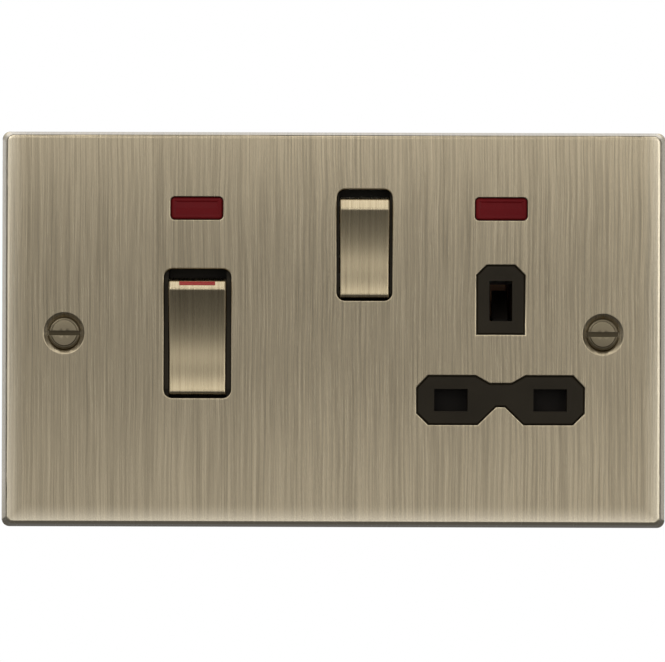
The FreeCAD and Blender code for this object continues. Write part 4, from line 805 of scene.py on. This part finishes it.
# The studio: (place, strength) pairs grade a card along one axis
FLOOR_Z = -0.135
FRONT_GRADES = ((-1.5, 0.20), (-1.3, 0.20), (-0.42, 0.36), (-0.27, 0.85), (-0.16, 1.5), (-0.11, 1.3),
                (-0.02, 0.26), (0.09, 0.30), (0.18, 2.2), (0.33, 2.7), (0.48, 1.0), (1.2, 1.0))
UPPER_GRADES = ((0.5, 0.9), (0.7, 1.4), (0.9, 2.5))
LOWER_GRADES = ((-0.52, 0.42), (-0.40, 0.34), (-0.28, 0.23), (-0.18, 0.15), (0.1, 0.15), (0.52, 0.12))
# each lamp: its name, place, size in metres and power in watts
LAMPS = (("key", (-0.5, -0.9, 0.8), 0.7, 9.0), ("fill", (0.7, -0.9, 0.2), 0.7, 4.0),
         ("back", (0.2, 0.9, 0.9), 0.8, 7.0))


def emitter(name, strength, axis=None):
    """Light of one strength, or of a strength that changes along an axis: (place, strength) pairs."""
    made = bpy.data.materials.new(name)
    made.use_nodes = True
    tree = made.node_tree
    tree.nodes.clear()
    wires = Wiring(tree)
    light = wires.node("ShaderNodeEmission", {"Color": (1, 1, 1, 1)})
    if axis is None:
        light.inputs["Strength"].default_value = strength
    else:
        coordinates = wires.node("ShaderNodeTexCoord").outputs["Object"]
        split = wires.node("ShaderNodeSeparateXYZ", {"Vector": coordinates})
        first, last = strength[0][0], strength[-1][0]
        share = wires.math("DIVIDE", wires.math("SUBTRACT", split.outputs[axis], first), last - first)
        peak = max(value for _, value in strength)
        stops = [((place - first) / (last - first), value / peak) for place, value in strength]
        graded = wires.ramp(share, stops)
        wires.join(wires.math("MULTIPLY", graded, peak), light.inputs["Strength"])
    outlet = tree.nodes.new("ShaderNodeOutputMaterial")
    wires.join(light.outputs[0], outlet.inputs[0])
    return made


def card(name, place, facing, width, height, strength, axis=None):
    """A studio card that only shows in reflections; a low strength makes it a dark flag."""
    bpy.ops.mesh.primitive_plane_add(size=1, location=place)
    made = bpy.context.object
    made.name = name
    made.rotation_euler = (Vector(facing) - Vector(place)).to_track_quat("Z", "Y").to_euler()
    made.scale = (width, height, 1)
    place_applied(made)
    made.data.materials.append(emitter(name, strength, axis))
    made.visible_camera = False
    made.visible_diffuse = False
    made.visible_shadow = False
    made.visible_transmission = False
    return made


def surroundings():
    """An even soft world, which the camera, reflections and glass see as white."""
    world = bpy.data.worlds.new("studio")
    bpy.context.scene.world = world
    world.use_nodes = True
    tree = world.node_tree
    tree.nodes.clear()
    wires = Wiring(tree)
    path = wires.node("ShaderNodeLightPath")
    bounced = wires.math("MAXIMUM", path.outputs["Is Glossy Ray"], path.outputs["Is Transmission Ray"])
    seen = wires.math("MAXIMUM", path.outputs["Is Camera Ray"], bounced)
    soft = wires.node("ShaderNodeBackground", {"Color": (1, 1, 1, 1), "Strength": 0.55})
    white = wires.node("ShaderNodeBackground", {"Color": (1, 1, 1, 1), "Strength": 1.0})
    both = wires.node("ShaderNodeMixShader", {0: seen, 1: soft.outputs[0], 2: white.outputs[0]})
    outlet = tree.nodes.new("ShaderNodeOutputWorld")
    wires.join(both.outputs[0], outlet.inputs[0])


def paper_floor():
    bpy.ops.mesh.primitive_plane_add(size=1, location=(0, 0, FLOOR_Z))
    floor = bpy.context.object
    floor.name = "floor"
    floor.scale = (1.6, 1.0, 1)
    place_applied(floor)
    paper = plastic("floor_paper", (0.88, 0.88, 0.87), (0.86, 0.86, 0.85), roughness=0.8, grains=900.0,
                    bump=0.05)
    floor.data.materials.append(paper)


def studio():
    scene = bpy.context.scene
    scene.view_settings.view_transform = "Standard"
    surroundings()
    paper_floor()

    centre = (0, 0, 0)
    card("front_card", (0, -1.6, -0.15), (0, 0, -0.15), 0.9, 2.7, FRONT_GRADES, "Z")
    card("upper_softbox", (0, -0.67, 0.70), centre, 1.1, 0.55, UPPER_GRADES, "Z")
    card("top_softbox", (0, -0.20, 0.95), centre, 1.1, 0.42, 2.4)
    card("rear_softbox", (0, 0.60, 0.54), centre, 1.2, 0.40, 1.5)
    for side in (-1, 1):
        card(f"rear_side_flag_{(side + 1) // 2}", (side * 0.60, 0.54, 0), centre, 0.55, 1.0, 0.5)
    card("left_softbox", (-0.62, -0.72, 0), centre, 0.3, 0.9, 1.4)
    card("right_softbox", (0.62, -0.72, 0), centre, 0.3, 0.9, 1.4)
    card("upper_flag", (0, 0.20, 0.80), centre, 1.4, 0.40, 0.06)
    card("left_flag", (-0.7, 0.02, 0), centre, 0.5, 1.0, 0.02)
    card("right_flag", (0.7, 0.02, 0), centre, 0.5, 1.0, 0.02)
    card("lower_flag", (0, 0, -0.125), (0, 0, 1), 1.4, 1.04, LOWER_GRADES, "Y")
    for name, place, size, power in LAMPS:
        lamp = bpy.data.lights.new(name, "AREA")
        lamp.size = size
        lamp.energy = power
        holder = bpy.data.objects.new(name, lamp)
        holder.location = place
        holder.rotation_euler = (-Vector(place)).to_track_quat("-Z", "Y").to_euler()
        holder.visible_glossy = name != "back"
        scene.collection.objects.link(holder)


def camera():
    data = bpy.data.cameras.new("camera")
    data.sensor_width = SENSOR
    data.sensor_fit = "HORIZONTAL"
    data.lens = SENSOR * VIEW_DISTANCE / VIEW_WIDTH
    holder = bpy.data.objects.new("camera", data)
    holder.location = (VIEW_CENTRE[0], FACE_Y - VIEW_DISTANCE, VIEW_CENTRE[1])
    holder.rotation_euler = (math.pi / 2, -VIEW_ROLL, 0)
    bpy.context.scene.collection.objects.link(holder)
    bpy.context.scene.camera = holder


finish_solids()
studio()
camera()
